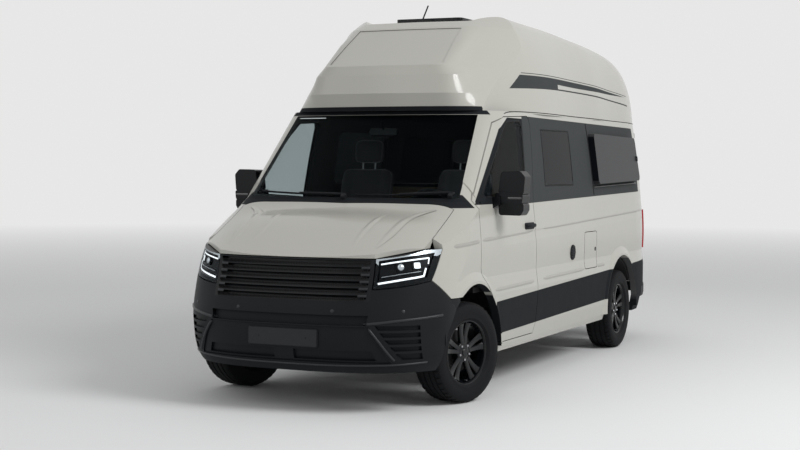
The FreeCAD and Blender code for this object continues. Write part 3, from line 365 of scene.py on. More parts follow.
@dataclass(frozen=True)
class Glazing(Finish):
    """A tinted pane: what it lets through, and what it mirrors at a glance. It may be solid from a place on."""

    body: float
    solid_from: float | None = None
    solid_color: Color = (0.034, 0.035, 0.037)
    border: float = 0.014
    dark: Color = (0.004, 0.005, 0.007)

    def shade(self, graph: Graph) -> Signal:
        """The shader of the surface."""
        color, solid = self.dark, 0.0
        slant = graph.node("ShaderNodeLayerWeight", None, {"Blend": 0.5}, "Facing")
        share = self.body + (slant ** 4) * (0.7 * (1 - self.body))
        if self.solid_from is not None:
            _, along, _ = graph.axes()
            solid = graph.above(along, self.solid_from)
            share = share.highest(solid)
            color = graph.mix(graph.above(along, self.solid_from + self.border), color, self.solid_color)
        gloss = graph.surface(color, solid * 0.3 + 0.05 + graph.noise(3.0) * 0.02, Specular_IOR_Level=0.1)
        clear = graph.node("ShaderNodeBsdfTransparent", None, {"Color": self.color})
        return graph.node("ShaderNodeMixShader", None, {0: share, 1: clear, 2: gloss})


@dataclass(frozen=True)
class Metal(Finish):
    """Bare or coated metal with a brushed or cast grain."""

    roughness: float = 0.35
    metallic: float = 1.0

    def shade(self, graph: Graph) -> Signal:
        """The shader of the surface."""
        grain = graph.noise(260.0, 4.0, 0.65)
        color = graph.mix(graph.noise(6.0, 4.0), self.tone(0.8), self.color)
        return graph.surface(color, grain * 0.16 + (self.roughness - 0.08), grain, 0.0002, 0.35,
                             Metallic=self.metallic)


@dataclass(frozen=True)
class Rubber(Finish):
    """Tyre rubber, slightly dusty on its side."""

    dusty: Color = (0.0085, 0.0088, 0.0095)

    def shade(self, graph: Graph) -> Signal:
        """The shader of the surface."""
        dust = graph.noise(14.0, 5.0, 0.6)
        color = graph.mix(dust, self.color, self.dusty)
        return graph.surface(color, dust * 0.16 + 0.66, graph.noise(1100.0, 2.0), 0.0002, 0.4,
                             Specular_IOR_Level=0.15)


@dataclass(frozen=True)
class Cloth(Finish):
    """Woven cloth: two sets of threads over a soft cloud of colour."""

    threads: float = 700.0

    def shade(self, graph: Graph) -> Signal:
        """The shader of the surface."""
        across, along, up = graph.axes()
        weave = ((across + up) * self.threads).sine() * ((along - up) * self.threads).sine() * 0.5 + 0.5
        color = graph.mix(weave * 0.6 + graph.noise(30.0, 4.0) * 0.4, self.color, self.tone(1.8, 0.01))
        return graph.surface(color, 0.86 + weave * 0.08, weave, 0.0008, 0.5, Sheen_Weight=0.25)


@dataclass(frozen=True)
class Wood(Finish):
    """Light wood laminate with grain along the van."""

    deep: Color = (0.38, 0.27, 0.17)

    def shade(self, graph: Graph) -> Signal:
        """The shader of the surface."""
        stretch = graph.node("ShaderNodeMapping", None, {"Vector": graph.place(), "Scale": (26.0, 1.6, 26.0)})
        figure = graph.node("ShaderNodeTexNoise", None, {"Vector": stretch, "Scale": 1.0, "Detail": 6.0})
        color = graph.mix(figure, self.color, self.deep)
        return graph.surface(color, figure * 0.15 + 0.4, figure, 0.0004, 0.25)


@dataclass(frozen=True)
class Lens(Finish):
    """Coloured lamp lens with fine ribs behind its gloss."""

    ribs: float = 180.0

    def shade(self, graph: Graph) -> Signal:
        """The shader of the surface."""
        _, _, up = graph.axes()
        rib = abs((up * self.ribs) % 1.0 - 0.5) * 2
        return graph.surface(graph.mix(rib, self.tone(0.55), self.color), 0.12 + rib * 0.05, rib, 0.0006, 0.2,
                             Coat_Weight=1.0, Coat_Roughness=0.02)


@dataclass(frozen=True)
class Light(Finish):
    """A lit line or lens: white, a little brighter in patches."""

    strength: float = 1.1

    def shade(self, graph: Graph) -> Signal:
        """The shader of the surface."""
        flicker = graph.noise(60.0, 1.0)
        return graph.surface(self.color, 0.25 + flicker * 0.05, Emission_Strength=self.strength,
                             Emission_Color=graph.mix(flicker, self.color, (1.0, 1.0, 1.0)))


# The finished materials by name. The frame has plain materials of its own under some of these names.
MADE: dict[str, bpy.types.Material] = {}


@dataclass(frozen=True)
class Dress:
    """Every finish of the van, and which nodes of the frame wear which."""

    livery: Livery = Livery()
    beige: Color = (0.42, 0.415, 0.378)
    ink: Color = (0.0062, 0.008, 0.01)
    slate: Color = (0.04, 0.044, 0.045)
    wear: tuple[tuple[str, str], ...] = (
        ("coated_steel", "chassis axles engine"), ("cab_paint", "cab_frame"), ("roof_paint", "high_roof"),
        ("body_paint", "wings bonnet service_flap"), ("brake_iron", "knuckle_*"),
        ("side_paint", "sliding_door side_wall_* door_panel_* rear_door_*"),
        ("bumper_plastic", "front_bumper rear_bumper"), ("gloss_black", "grille roof_hatch_lid mirror_*"),
        ("dark_plastic", "roof_fittings underfloor dashboard"), ("lamp_cover", "headlamps"),
        ("screen_glass", "windscreen"), ("privacy_glass", "side_windows"), ("door_glass", "door_glass_*"),
        ("rear_glass", "rear_glass_*"), ("red_lens", "tail_lamps"), ("seat_cloth", "cab_seats"),
        ("light_wood", "furniture"), ("mattress_cover", "mattress"), ("tyre_rubber", "tyre_*"),
        ("rim_black", "rim_*"))

    def paints(self) -> list[Finish]:
        """The body's paints, with the marks that each carries."""
        livery, visor = self.livery, (self.livery.visor, self.ink)
        sides = ((livery.stripe, self.ink), (livery.field, self.ink), (livery.band, self.slate))
        return [Paint("body_paint", self.beige, (0.0, -1.9, 0.75)),
                Paint("cab_paint", self.beige, (0.0, -0.5, 1.25), (*sides, visor, (livery.cowl, self.ink))),
                Paint("roof_paint", self.beige, (0.0, 0.8, 1.6), ((livery.roof_stripe, self.slate), visor)),
                Paint("side_paint", self.beige, marks=sides),
                # The creases' ribs wear a darker beige: painted shade along the pressed lines, where the sheet itself
                # wears the body's paint.
                Paint("crease_shade_paint", (0.34, 0.335, 0.305), (0.0, 0.5, 1.0))]

    @staticmethod
    def trims() -> list[Finish]:
        """All other finishes."""
        return [Plastic("bumper_plastic", (0.007, 0.0084, 0.0098), 0.5, gloss=0.12),
                # A paler plastic on the bumper's lips, the foot's bead, the sensor discs and the grille bars' ends:
                # partly painted highlight along edges whose shape also catches the lamps' light.
                Plastic("bumper_edge_highlight", (0.016, 0.018, 0.02), 0.4),
                Plastic("gloss_black", (0.004, 0.0046, 0.0058), 0.32, 60.0, 0.0001, 0.12, 0.15),
                Plastic("dark_plastic", (0.009, 0.01, 0.012), 0.6, gloss=0.15),
                Plastic("grille_mesh", (0.003, 0.003, 0.004), 0.6),
                Plastic("rubber_seal", (0.0045, 0.005, 0.0055), 0.65, gloss=0.2),
                Plastic("plate_dark", (0.01, 0.011, 0.013), 0.4, 300.0),
                Plastic("plate_pale", (0.5, 0.5, 0.49), 0.4, 300.0),
                Plastic("cabinet_front", (0.46, 0.45, 0.42), 0.45, 300.0),
                Plastic("rim_black", (0.003, 0.0036, 0.0048), 0.22, 500.0, 0.00008, 0.25, 0.2),
                Glazing("screen_glass", (0.86, 0.9, 0.9), 0.08),
                Glazing("door_glass", (0.8, 0.84, 0.85), 0.12),
                Glazing("privacy_glass", (0.2, 0.22, 0.23), 0.62, 0.862),
                Glazing("rear_glass", (0.3, 0.32, 0.33), 0.5),
                Glazing("lamp_cover", (0.93, 0.95, 0.96), 0.02),
                Metal("wheel_bolt", (0.42, 0.42, 0.44), 0.28),
                Metal("bare_steel", (0.36, 0.36, 0.38)),
                Metal("brake_iron", (0.055, 0.055, 0.058), 0.5, 0.6),
                Metal("lamp_chrome", (0.8, 0.82, 0.84), 0.28),
                Metal("mirror_glass", (0.7, 0.72, 0.74), 0.1),
                Metal("window_rail", (0.3, 0.3, 0.31), 0.42),
                Metal("coated_steel", (0.012, 0.012, 0.014), 0.55, 0.3),
                Rubber("tyre_rubber", (0.004, 0.0046, 0.006)),
                Cloth("seat_cloth", (0.016, 0.016, 0.018)),
                Cloth("seat_piping", (0.07, 0.07, 0.072), 1200.0),
                Cloth("mattress_cover", (0.3, 0.3, 0.31), 420.0),
                Wood("light_wood", (0.52, 0.4, 0.27)),
                Lens("red_lens", (0.62, 0.012, 0.03)),
                Lens("amber_lens", (0.55, 0.16, 0.01)),
                Lens("smoked_lens", (0.03, 0.03, 0.032)),
                Lens("pale_lens", (0.55, 0.55, 0.56)),
                Light("lit_line", (0.9, 0.93, 0.95))]

    def build(self) -> None:
        """Makes the materials and puts one on each node."""
        MADE.update((finish.name, finish.build()) for finish in self.paints() + self.trims())
        for name, node in frame["nodes"].items():
            worn = next(key for key, nodes in self.wear if any(fnmatch(name, item) for item in nodes.split()))
            node.data.materials.clear()
            node.data.materials.append(MADE[worn])
            log.info("%s wears %s", name, worn)


def put(name: str, data: bpy.types.ID) -> bpy.types.Object:
    """Makes an object of some data in the scene."""
    made = bpy.data.objects.new(name, data)
    bpy.context.scene.collection.objects.link(made)
    return made


@dataclass(frozen=True)
class Studio:
    """Camera, floor, sky and lights. The camera stands where the picture was taken from; its turn is yaw, pitch
    and roll in degrees."""

    camera_place: Point = (4.926, -11.852, 1.673)
    camera_turn: Point = (24.59, 2.28, 0.31)
    focal_pixels: float = 1506.5
    picture_width: float = 800.0
    sensor: float = 36.0
    sight: float = 300.0
    floor_half: float = 60.0
    floor_color: Color = (0.78, 0.785, 0.79)
    sky_color: Color = (0.8, 0.8, 0.8)
    white: Color = (1.0, 1.0, 1.0)
    light_level: float = 0.5
    fade: Pair = (9.0, 30.0)
    lights: tuple = (("key", (10.5, -2.5, 9.0), 6.0, 1050.0), ("fill", (-5.0, -10.0, 6.0), 9.0, 130.0))
    target: Point = (0, 0, 1.2)

    def camera(self) -> None:
        """Makes the scene's camera."""
        data = bpy.data.cameras.new("camera")
        data.sensor_width = self.sensor
        data.lens = self.focal_pixels * self.sensor / self.picture_width
        data.clip_end = self.sight
        yaw, pitch, roll = (math.radians(angle) for angle in self.camera_turn)
        ahead = Vector((-math.sin(yaw) * math.cos(pitch), math.cos(yaw) * math.cos(pitch), -math.sin(pitch)))
        right = Vector((math.cos(yaw), math.sin(yaw), 0))
        over = right.cross(ahead)
        turned = (math.cos(roll) * right + math.sin(roll) * over,
                  math.cos(roll) * over - math.sin(roll) * right)
        turn = Matrix((*turned, -ahead)).transposed().to_4x4()
        camera = put("camera", data)
        camera.matrix_world = Matrix.Translation(self.camera_place) @ turn
        bpy.context.scene.camera = camera

    def floor(self) -> None:
        """Makes a wide pale floor that fades into the sky's colour far out."""
        half = self.floor_half
        mesh = bpy.data.meshes.new("floor")
        corners = [(-half, -half, 0), (half, -half, 0), (half, half, 0), (-half, half, 0)]
        mesh.from_pydata(corners, [], [(0, 1, 2, 3)])
        graph = Graph("floor")
        across, along, _ = graph.axes()
        reach = (across * across + along * along) ** 0.5
        far = ((reach - self.fade[0]) / (self.fade[1] - self.fade[0])).clamped()
        rough = 0.75 + graph.noise(3.0, 4.0) * 0.1
        matt = graph.surface(self.floor_color, rough, graph.noise(60.0, 4.0), 0.002, 0.1)
        glow = graph.node("ShaderNodeEmission", None, {"Color": self.sky_color, "Strength": 1.0})
        mesh.materials.append(graph.end(graph.node("ShaderNodeMixShader", None, {0: far, 1: matt, 2: glow})))
        floor = put("floor", mesh)

    def sky(self) -> None:
        """Sets the even light, and the pale background that shows and mirrors."""
        world = bpy.data.worlds.new("sky")
        world.use_nodes = True
        bpy.context.scene.world = world
        graph = Graph("sky", world.node_tree)
        rays = graph.node("ShaderNodeLightPath").socket.node.outputs
        shown = Signal(graph, rays["Is Camera Ray"])
        for kind in ("Is Glossy Ray", "Is Transmission Ray"):
            shown = shown.highest(Signal(graph, rays[kind]))
        light = graph.node("ShaderNodeBackground", None, {"Color": self.white, "Strength": self.light_level})
        back = graph.node("ShaderNodeBackground", None, {"Color": self.sky_color, "Strength": 1.0})
        both = graph.node("ShaderNodeMixShader", None, {0: shown, 1: light, 2: back})
        graph.node("ShaderNodeOutputWorld", None, {"Surface": both})

    def lamps(self) -> None:
        """Hangs the soft key light at the van's left and a weak fill before it."""
        for name, place, size, power in self.lights:
            data = bpy.data.lights.new(name, "AREA")
            data.shape = "DISK"
            data.size = size
            data.energy = power
            lamp = put(name, data)
            lamp.location = place
            lamp.rotation_euler = (Vector(self.target) - Vector(place)).to_track_quat("-Z", "Y").to_euler()

    def build(self) -> None:
        """Makes everything round the van."""
        self.camera()
        self.floor()
        self.sky()
        self.lamps()
        bpy.context.scene.view_settings.view_transform = "Standard"


class Look(Enum):
    """A side of the van: the ways of a mark's two sizes on it, and the way inward."""

    FRONT = ((1, 0, 0), (0, 0, 1), (0, 1, 0))
    REAR = ((1, 0, 0), (0, 0, 1), (0, -1, 0))
    LEFT = ((0, 1, 0), (0, 0, 1), (-1, 0, 0))
    RIGHT = ((0, 1, 0), (0, 0, 1), (1, 0, 0))
    TOP = ((1, 0, 0), (0, 1, 0), (0, 0, -1))

    def aim(self, first: float, second: float, far: float = 4.0) -> tuple[Vector, Vector]:
        """A place well outside the van over a mark, and the way inward from it."""
        one, other, inward = (Vector(way) for way in self.value)
        return one * first + other * second - inward * far, inward


@dataclass(frozen=True)
class Mount:
    """A seat for a small part: its place, the way out of the surface and the way up on it."""

    at: Vector
    out: Vector
    over: Vector

    @classmethod
    def facing(cls, at: Point, out: Point, over: Point = UP) -> "Mount":
        """A seat at a place, with its directions squared up."""
        ahead = Vector(out).normalized()
        upward = Vector(over)
        return cls(Vector(at), ahead, (upward - ahead * upward.dot(ahead)).normalized())

    def point(self, across: float, up: float, height: float) -> Vector:
        """A point beside the seat, at a height over it."""
        return self.at + self.over.cross(self.out) * across + self.over * up + self.out * height

    def moved(self, across: float, up: float, height: float = 0.0) -> "Mount":
        """The same seat, moved on its own axes."""
        return Mount(self.point(across, up, height), self.out, self.over)


class Surface:
    """The outside of some of the frame's nodes, on which points are found."""

    beside: tuple[Pair, ...] = ((0.004, 0), (-0.004, 0), (0, 0.004), (0, -0.004))
    seam_depth: float = 0.008

    def __init__(self, *names: str) -> None:
        """Gathers the nodes' faces."""
        points, faces = [], []
        for name in names:
            mesh = frame["nodes"][name].data
            first = len(points)
            points.extend(vertex.co.copy() for vertex in mesh.vertices)
            faces.extend(tuple(first + place for place in face.vertices) for face in mesh.polygons)
        self.tree = BVHTree.FromPolygons(points, faces)

    def mount(self, look: Look, first: float, second: float, over: Point = UP) -> Mount:
        """The seat under one mark. Over a seam, it takes the height of the sheet beside it."""
        start, ahead = look.aim(first, second)
        place, normal, _, depth = self.tree.ray_cast(start, ahead)
        for shift, rise in self.beside:
            near = look.aim(first + shift, second + rise)[0]
            found, its_normal, _, its_depth = self.tree.ray_cast(near, ahead)
            if found is not None and (depth is None or its_depth < depth - self.seam_depth):
                place, normal, depth = start + ahead * its_depth, its_normal, its_depth
        if place is None:
            raise ValueError(f"no surface under {look.name} {first:.3f}, {second:.3f}")
        return Mount.facing(place, normal, over)

    def trail(self, look: Look, marks: Sequence[Pair], steps: int = 6, looped: bool = False,
              curved: bool = True) -> list[Mount]:
        """Seats along a smooth line through the marks.

        Args:
            look: The side that the marks are seen from.
            marks: Pairs of sizes on that side, in metres.
            steps: Seats between two marks.
            looped: Whether the line closes on itself.
            curved: Whether the line bends smoothly through the marks.

        Returns:
            The seats in order.
        """
        count = len(marks)
        seats = []
        for span in range(count if looped else count - 1):
            places = [place % count if looped else min(max(place, 0), count - 1)
                      for place in range(span - 1, span + 3)]
            corners = [Vector(marks[place]) for place in places]
            for step in range(steps):
                seats.append(self.mount(look, *self._between(corners, step / steps, curved)))
        return seats if looped else seats + [self.mount(look, *marks[-1])]

    @staticmethod
    def _between(corners: Sequence[Vector], share: float, curved: bool) -> Vector:
        """A point between the middle two of four corners."""
        before, first, second, after = corners
        if not curved:
            return first.lerp(second, share)
        return 0.5 * (2 * first + (second - before) * share
                      + (2 * before - 5 * first + 4 * second - after) * share ** 2
                      + (3 * first - before - 3 * second + after) * share ** 3)


def turns(count: int) -> list[float]:
    """Evenly spaced angles round a circle."""
    return [math.tau * step / count for step in range(count)]


def flip(marks: Sequence[Pair], sign: int) -> list[Pair]:
    """Marks carried to the side of a sign."""
    return [(sign * across, up) for across, up in marks]


def neighbours(items: Sequence, place: int, looped: bool) -> tuple:
    """The items before and after one, round a loop or held at the ends."""
    if looped:
        return items[place - 1], items[(place + 1) % len(items)]
    return items[max(place - 1, 0)], items[min(place + 1, len(items) - 1)]


def rounded(width: float, height: float, corner: float, steps: int = 4) -> list[Pair]:
    """Outline of a rectangle with round corners, about its middle."""
    corner = min(corner, width / 2 - 1e-5, height / 2 - 1e-5)
    outline = []
    for turn, (across, up) in enumerate(((1, 1), (-1, 1), (-1, -1), (1, -1))):
        for step in range(steps + 1):
            angle = math.pi / 2 * (turn + step / steps)
            outline.append((across * (width / 2 - corner) + corner * math.cos(angle),
                            up * (height / 2 - corner) + corner * math.sin(angle)))
    return outline


def bead(width: float, height: float, sunk: float = 0.001, steps: int = 6) -> list[Pair]:
    """Section of a raised bead that rests a little in the surface."""
    arch = [(-width / 2 + width * step / steps, height * math.sin(math.pi * step / steps) ** 0.7)
            for step in range(steps + 1)]
    return arch + [(width / 2, -sunk), (-width / 2, -sunk)]


def swell(width: float, height: float, steps: int = 10) -> list[Pair]:
    """Section of a pressed rib that rises out of the sheet and falls back without an edge."""
    arch = [(-width / 2 + width * step / steps, height * (1 - math.cos(math.tau * step / steps)) / 2)
            for step in range(steps + 1)]
    return arch + [(width / 4, -0.001), (-width / 4, -0.001)]


class Shape:
    """One piece while it is made: skins over rings of points, each with one of its finishes."""

    def __init__(self, name: str, *finishes: str) -> None:
        """Starts an empty piece with the names of its finishes."""
        self.name = name
        self.finishes = finishes
        self.mesh = bmesh.new()

    def skin(self, rings: Sequence[Sequence[Vector]], finish: int = 0, looped: bool = False) -> None:
        """Covers rings of equally many points, and closes both ends unless the rings loop."""
        rows = [[self.mesh.verts.new(point) for point in ring] for ring in rings]
        count = len(rows[0])
        faces = []
        for low, high in zip(rows, rows[1:] + rows[:1] if looped else rows[1:]):
            for place in range(count):
                beside = (place + 1) % count
                faces.append((low[place], low[beside], high[beside], high[place]))
        if not looped:
            faces.extend((tuple(rows[0]), tuple(reversed(rows[-1]))))
        for corners in faces:
            self.mesh.faces.new(corners).material_index = finish

    def stud(self, seat: Mount, width: float, height: float, corner: float, levels: Levels,
             finish: int = 0) -> None:
        """A small rounded block.

        Args:
            seat: Where its middle stands.
            width: Size across.
            height: Size up the surface.
            corner: Radius of its corners.
            levels: Heights over the surface, each with how far the outline is drawn in there.
            finish: Which of the piece's finishes it wears.
        """
        self.skin([[seat.point(across, up, level) for across, up in
                    rounded(width - 2 * inset, height - 2 * inset, max(corner - inset, SPOT))]
                   for level, inset in levels], finish)

    def lathe(self, seat: Mount, profile: Sequence[Pair], steps: int, finish: int = 0) -> None:
        """A closed profile of radii and heights, turned about the seat's way out."""
        self.skin([[seat.point(math.cos(turn) * radius, math.sin(turn) * radius, height)
                    for radius, height in profile] for turn in turns(steps)], finish, True)

    def button(self, seat: Mount, profile: Sequence[Pair], top: float, steps: int = 24,
               finish: int = 0) -> None:
        """A turned part that is solid to its axis, with its top's middle at a height of its own."""
        self.lathe(seat, [(SPOT, top), *profile, (SPOT, profile[-1][1])], steps, finish)

    def rail(self, seats: Sequence[Mount], section: Sequence[Pair], finish: int = 0, looped: bool = False,
             lift: float = 0.0, fade: int = 0) -> None:
        """Draws a section along seats.

        Args:
            seats: The seats in order.
            section: Places across the line and heights over the surface.
            finish: Which of the piece's finishes it wears.
            looped: Whether the line closes on itself.
            lift: How far the whole section stands out of the surface.
            fade: Over how many seats it swells from nothing at each end.
        """
        rings = []
        for place, seat in enumerate(seats):
            before, after = neighbours(seats, place, looped)
            sideways = (after.at - before.at).cross(seat.out).normalized()
            size = max(0.05, min(1.0, place / fade, (len(seats) - 1 - place) / fade)) if fade else 1.0
            wide = 0.4 + 0.6 * size
            rings.append([seat.at + sideways * (across * wide) + seat.out * (height * size + lift)
                          for across, height in section])
        self.skin(rings, finish, looped)

    def tube(self, points: Sequence[Point], radius: float, finish: int = 0, looped: bool = False,
             sides: int = 10) -> None:
        """A round bar through points."""
        path = [Vector(point) for point in points]
        rings = []
        for place, point in enumerate(path):
            before, after = neighbours(path, place, looped)
            along = (after - before).normalized()
            first = along.cross(Vector(UP if abs(along.z) < 0.9 else (1, 0, 0))).normalized()
            second = along.cross(first)
            rings.append([point + (first * math.cos(turn) + second * math.sin(turn)) * radius
                          for turn in turns(sides)])
        self.skin(rings, finish, looped)

    def copy_node(self, name: str) -> None:
        """Takes a copy of a node's faces into the piece."""
        self.mesh.from_mesh(frame["nodes"][name].data)
        bmesh.ops.remove_doubles(self.mesh, verts=self.mesh.verts, dist=1e-6)
        self.mesh.verts.index_update()

    def islands(self) -> list[list[bmesh.types.BMFace]]:
        """The piece's separate solids, as lists of faces."""
        left = set(self.mesh.faces)
        found = []
        while left:
            stack = [left.pop()]
            island = []
            while stack:
                face = stack.pop()
                island.append(face)
                beside = {other for edge in face.edges for other in edge.link_faces} & left
                left -= beside
                stack.extend(beside)
            found.append(island)
        return found

    def finish(self, body: str, slot: str, angle: float = 38.0,
               stands_for: Sequence[str] = ()) -> bpy.types.Object:
        """Makes the Blender object.

        Args:
            body: The body that it moves with.
            slot: The record's material slot; not used.
            angle: Edges that turn more than this stay sharp.
            stands_for: Nodes that it replaces.

        Returns:
            The object.
        """
        bmesh.ops.recalc_face_normals(self.mesh, faces=self.mesh.faces)
        for face in self.mesh.faces:
            face.smooth = True
        for edge in self.mesh.edges:
            edge.smooth = edge.calc_face_angle(0.0) < math.radians(angle)
        data = bpy.data.meshes.new(self.name)
        self.mesh.to_mesh(data)
        self.mesh.free()
        for name in self.finishes:
            data.materials.append(MADE[name])
        piece = put(self.name, data)
        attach(piece, body)
        if stands_for:
            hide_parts(*stands_for)
        log.info("%s rides on %s, %d faces", self.name, body, len(data.polygons))
        return piece


@dataclass(frozen=True)
class Wheel:
    """One wheel: a tyre with tread and a dark rim with paired spokes. Its axis points out of the van."""

    end: str
    side: str
    radius: float = 0.357
    pitches: int = 44
    groove: float = 0.008
    notch: float = 0.006
    notch_reach: Pair = (0.072, 0.105)
    notch_from: float = 0.345
    notched: tuple = ((0.0, True), (0.1, True), (0.13, False), (0.56, False))
    spoke_pairs: int = 5
    spoke_rings: tuple = ((0.048, 0.07, 0.026, 0.034), (0.09, 0.066, 0.024, 0.034), (0.14, 0.067, 0.026, 0.03),
                          (0.185, 0.073, 0.031, 0.028), (0.206, 0.08, 0.038, 0.03))
    lean: float = 11.0
    bolt_circle: float = 0.053
    valve_circle: float = 0.196
    shoulder: tuple = ((0.354, 0.088), (0.349, 0.1), (0.34, 0.108), (0.338, 0.107), (0.332, 0.1115),
                       (0.3, 0.117), (0.275, 0.1165), (0.25, 0.111), (0.244, 0.112), (0.238, 0.108),
                       (0.229, 0.1), (0.2165, 0.0905))
    barrel: tuple = ((0.2157, 0.086), (0.2262, 0.0885), (0.2278, 0.093), (0.2258, 0.0975), (0.22, 0.098),
                     (0.213, 0.09), (0.2085, 0.072), (0.204, 0.05), (0.202, 0.0), (0.201, -0.07),
                     (0.205, -0.088), (0.2155, -0.088))
    hub: tuple = ((0.024, 0.08), (0.027, 0.078), (0.028, 0.074), (0.033, 0.073), (0.06, 0.07),
                  (0.07, 0.064), (0.074, 0.052), (0.074, 0.022))

    @property
    def seat(self) -> Mount:
        """The wheel's centre and its way out, from the joint that it turns on."""
        joint = next(item for item in frame["joints"] if item["name"] == f"spin_{self.end}_{self.side}")
        return Mount.facing(joint["pos_m"], [SIDES[self.side] * part for part in joint["axis"]])

    def close(self, shape: Shape, slot: str, angle: float) -> None:
        """Ends a piece that stands for the wheel's tyre or rim."""
        shape.finish(f"wheel_{self.end}_{self.side}", slot, angle, [f"{slot}_{self.end}_{self.side}"])

    def tyre(self) -> None:
        """The tyre, with two grooves on each half and slots across its shoulders at every pitch."""
        top, near, deep, low = self.radius, self.radius - 0.0005, self.groove, self.radius - 0.001
        half = [(top, 0.0), (top, 0.018), (top - deep, 0.02), (top - deep, 0.029), (top, 0.031), (near, 0.061),
                (near - deep, 0.063), (near - deep, 0.071), (low, 0.073), *self.shoulder]
        profile = half + [(radius, -place) for radius, place in reversed(half[1:])]
        inner, outer = self.notch_reach
        seat = self.seat
        rings = []
        for pitch in range(self.pitches):
            for share, slotted in self.notched:
                angle = math.tau * (pitch + share) / self.pitches
                ring = []
                for radius, place in profile:
                    cut = slotted and inner < abs(place) < outer and radius > self.notch_from
                    reach = radius - self.notch if cut else radius
                    ring.append(seat.point(math.cos(angle) * reach, math.sin(angle) * reach, place))
                rings.append(ring)
        shape = Shape(f"tyre_tread_{self.end}_{self.side}", "tyre_rubber")
        shape.skin(rings, looped=True)
        self.close(shape, "tyre", 30.0)

    def spoke(self, shape: Shape, angle: float) -> None:
        """One spoke from the hub to the rim, hollowed a little and drawn to a narrow back."""
        seat = self.seat
        over = seat.over * math.cos(angle) + seat.over.cross(seat.out) * math.sin(angle)
        turned = Mount(seat.at, seat.out, over)
        shape.skin([[turned.point(wide * share, radius, front - down) for share, down in (
            (-0.55, 0.0), (-0.35, -0.0008), (0.35, -0.0008), (0.55, 0.0), (0.75, 0.006), (0.45, deep),
            (-0.45, deep), (-0.75, 0.006))] for radius, front, wide, deep in self.spoke_rings])

    def rim(self) -> None:
        """The rim's barrel, spokes, plain cap and bolts."""
        seat = self.seat
        shape = Shape(f"rim_spokes_{self.end}_{self.side}", "rim_black", "wheel_bolt", "bare_steel")
        shape.lathe(seat, self.barrel, 96)
        shape.button(seat, self.hub, 0.08, 48)
        for index in range(self.spoke_pairs):
            middle = math.tau * index / self.spoke_pairs
            for way in (-1, 1):
                self.spoke(shape, middle + way * math.radians(self.lean))
            turn = middle + math.pi / self.spoke_pairs
            bolt = seat.moved(math.sin(turn) * self.bolt_circle, math.cos(turn) * self.bolt_circle)
            shape.button(bolt, ((0.0075, 0.078), (0.0095, 0.076), (0.0095, 0.066)), 0.078, 6, 1)
        shape.lathe(seat.moved(0.0, -self.valve_circle), ((0.0003, 0.094), (0.0035, 0.094), (0.004, 0.07),
                                                          (0.0003, 0.07)), 12, 2)
        self.close(shape, "rim", 28.0)

    def build(self) -> None:
        """Both pieces."""
        self.tyre()
        self.rim()


@dataclass(frozen=True)
class Headlamps:
    """Both headlamps: clear covers, dark bowls in bright frames, light lines and projectors."""

    cover_gap: float = 0.012
    light_depth: float = 0.015
    line_depth: float = 0.024
    bowl_depth: float = 0.03
    bright_line: Pair = (0.916, 0.16)
    lines: tuple = (
        (((0.64, 1.01), (0.694, 1.02), (0.778, 1.034), (0.85, 1.046), (0.893, 1.052), (0.896, 1.012)), 0.01, 0),
        (((0.632, 0.884), (0.707, 0.897), (0.79, 0.912), (0.86, 0.925), (0.886, 0.932), (0.89, 0.984)), 0.013, 0),
        (((0.65, 0.926), (0.707, 0.936), (0.79, 0.95), (0.868, 0.963)), 0.006, 1))
    square_lens: Pair = (0.848, 1.004)
    round_lens: Pair = (0.762, 0.994)

    def houses(self) -> None:
        """The node's own forms, with a finish for each: clear cover, bright frame and dark bowl."""
        shape = Shape("headlamp_forms", "lamp_cover", "lamp_chrome", "gloss_black")
        shape.copy_node("headlamps")
        islands = shape.islands()
        covers = []
        for sign in SIDES.values():
            pair = [island for island in islands if sign * island[0].calc_center_median().x > 0]
            covers.append(min(pair, key=lambda island: sum(face.calc_area() for face in island)))
        corners = [[vert.index for vert in face.verts] for island in covers for face in island]
        cover = BVHTree.FromPolygons([vert.co.copy() for vert in shape.mesh.verts], corners)
        level, rise = self.bright_line
        for island in islands:
            clear = any(island is thin for thin in covers)
            for face in island:
                middle = face.calc_center_median()
                near = cover.find_nearest(middle)[3] < self.cover_gap
                bright = near and middle.z > level + rise * abs(middle.x)
                face.material_index = 0 if clear else (1 if bright else 2)
        shape.finish("body", "lamp_clear", stands_for=["headlamps"])

    def lights(self, side: str) -> None:
        """Light lines and projectors behind one cover."""
        sign = SIDES[side]
        face = Surface("headlamps")
        shape = Shape(f"headlamp_lights_{side}", "lit_line", "lamp_chrome", "gloss_black")
        for marks, wide, finish in self.lines:
            seats = face.trail(Look.FRONT, flip(marks, sign), 5, curved=False)
            half, deep = wide * 0.6, -self.line_depth
            shape.rail(seats, [(half, 0.0), (half, deep), (-half, deep), (-half, 0.0)], 2,
                       lift=-self.light_depth)
            shape.rail(seats, bead(wide, 0.004), finish, lift=-self.light_depth)
        for across, up in (self.square_lens, self.round_lens):
            seat = face.mount(Look.FRONT, sign * across, up).moved(0, 0, -self.bowl_depth)
            shape.stud(seat, 0.072, 0.058, 0.01, ((-0.004, 0), (0.01, 0), (0.012, 0.002)), 2)
            if (across, up) == self.square_lens:
                shape.stud(seat, 0.048, 0.04, 0.008, ((0.01, 0), (0.015, 0.001), (0.017, 0.006)))
            else:
                shape.button(seat, ((0.012, 0.019), (0.02, 0.014), (0.024, 0.01)), 0.021, 24, 1)
        shape.finish("body", "lamp_clear")

    def build(self) -> None:
        """Both lamps."""
        self.houses()
        for side in SIDES:
            self.lights(side)


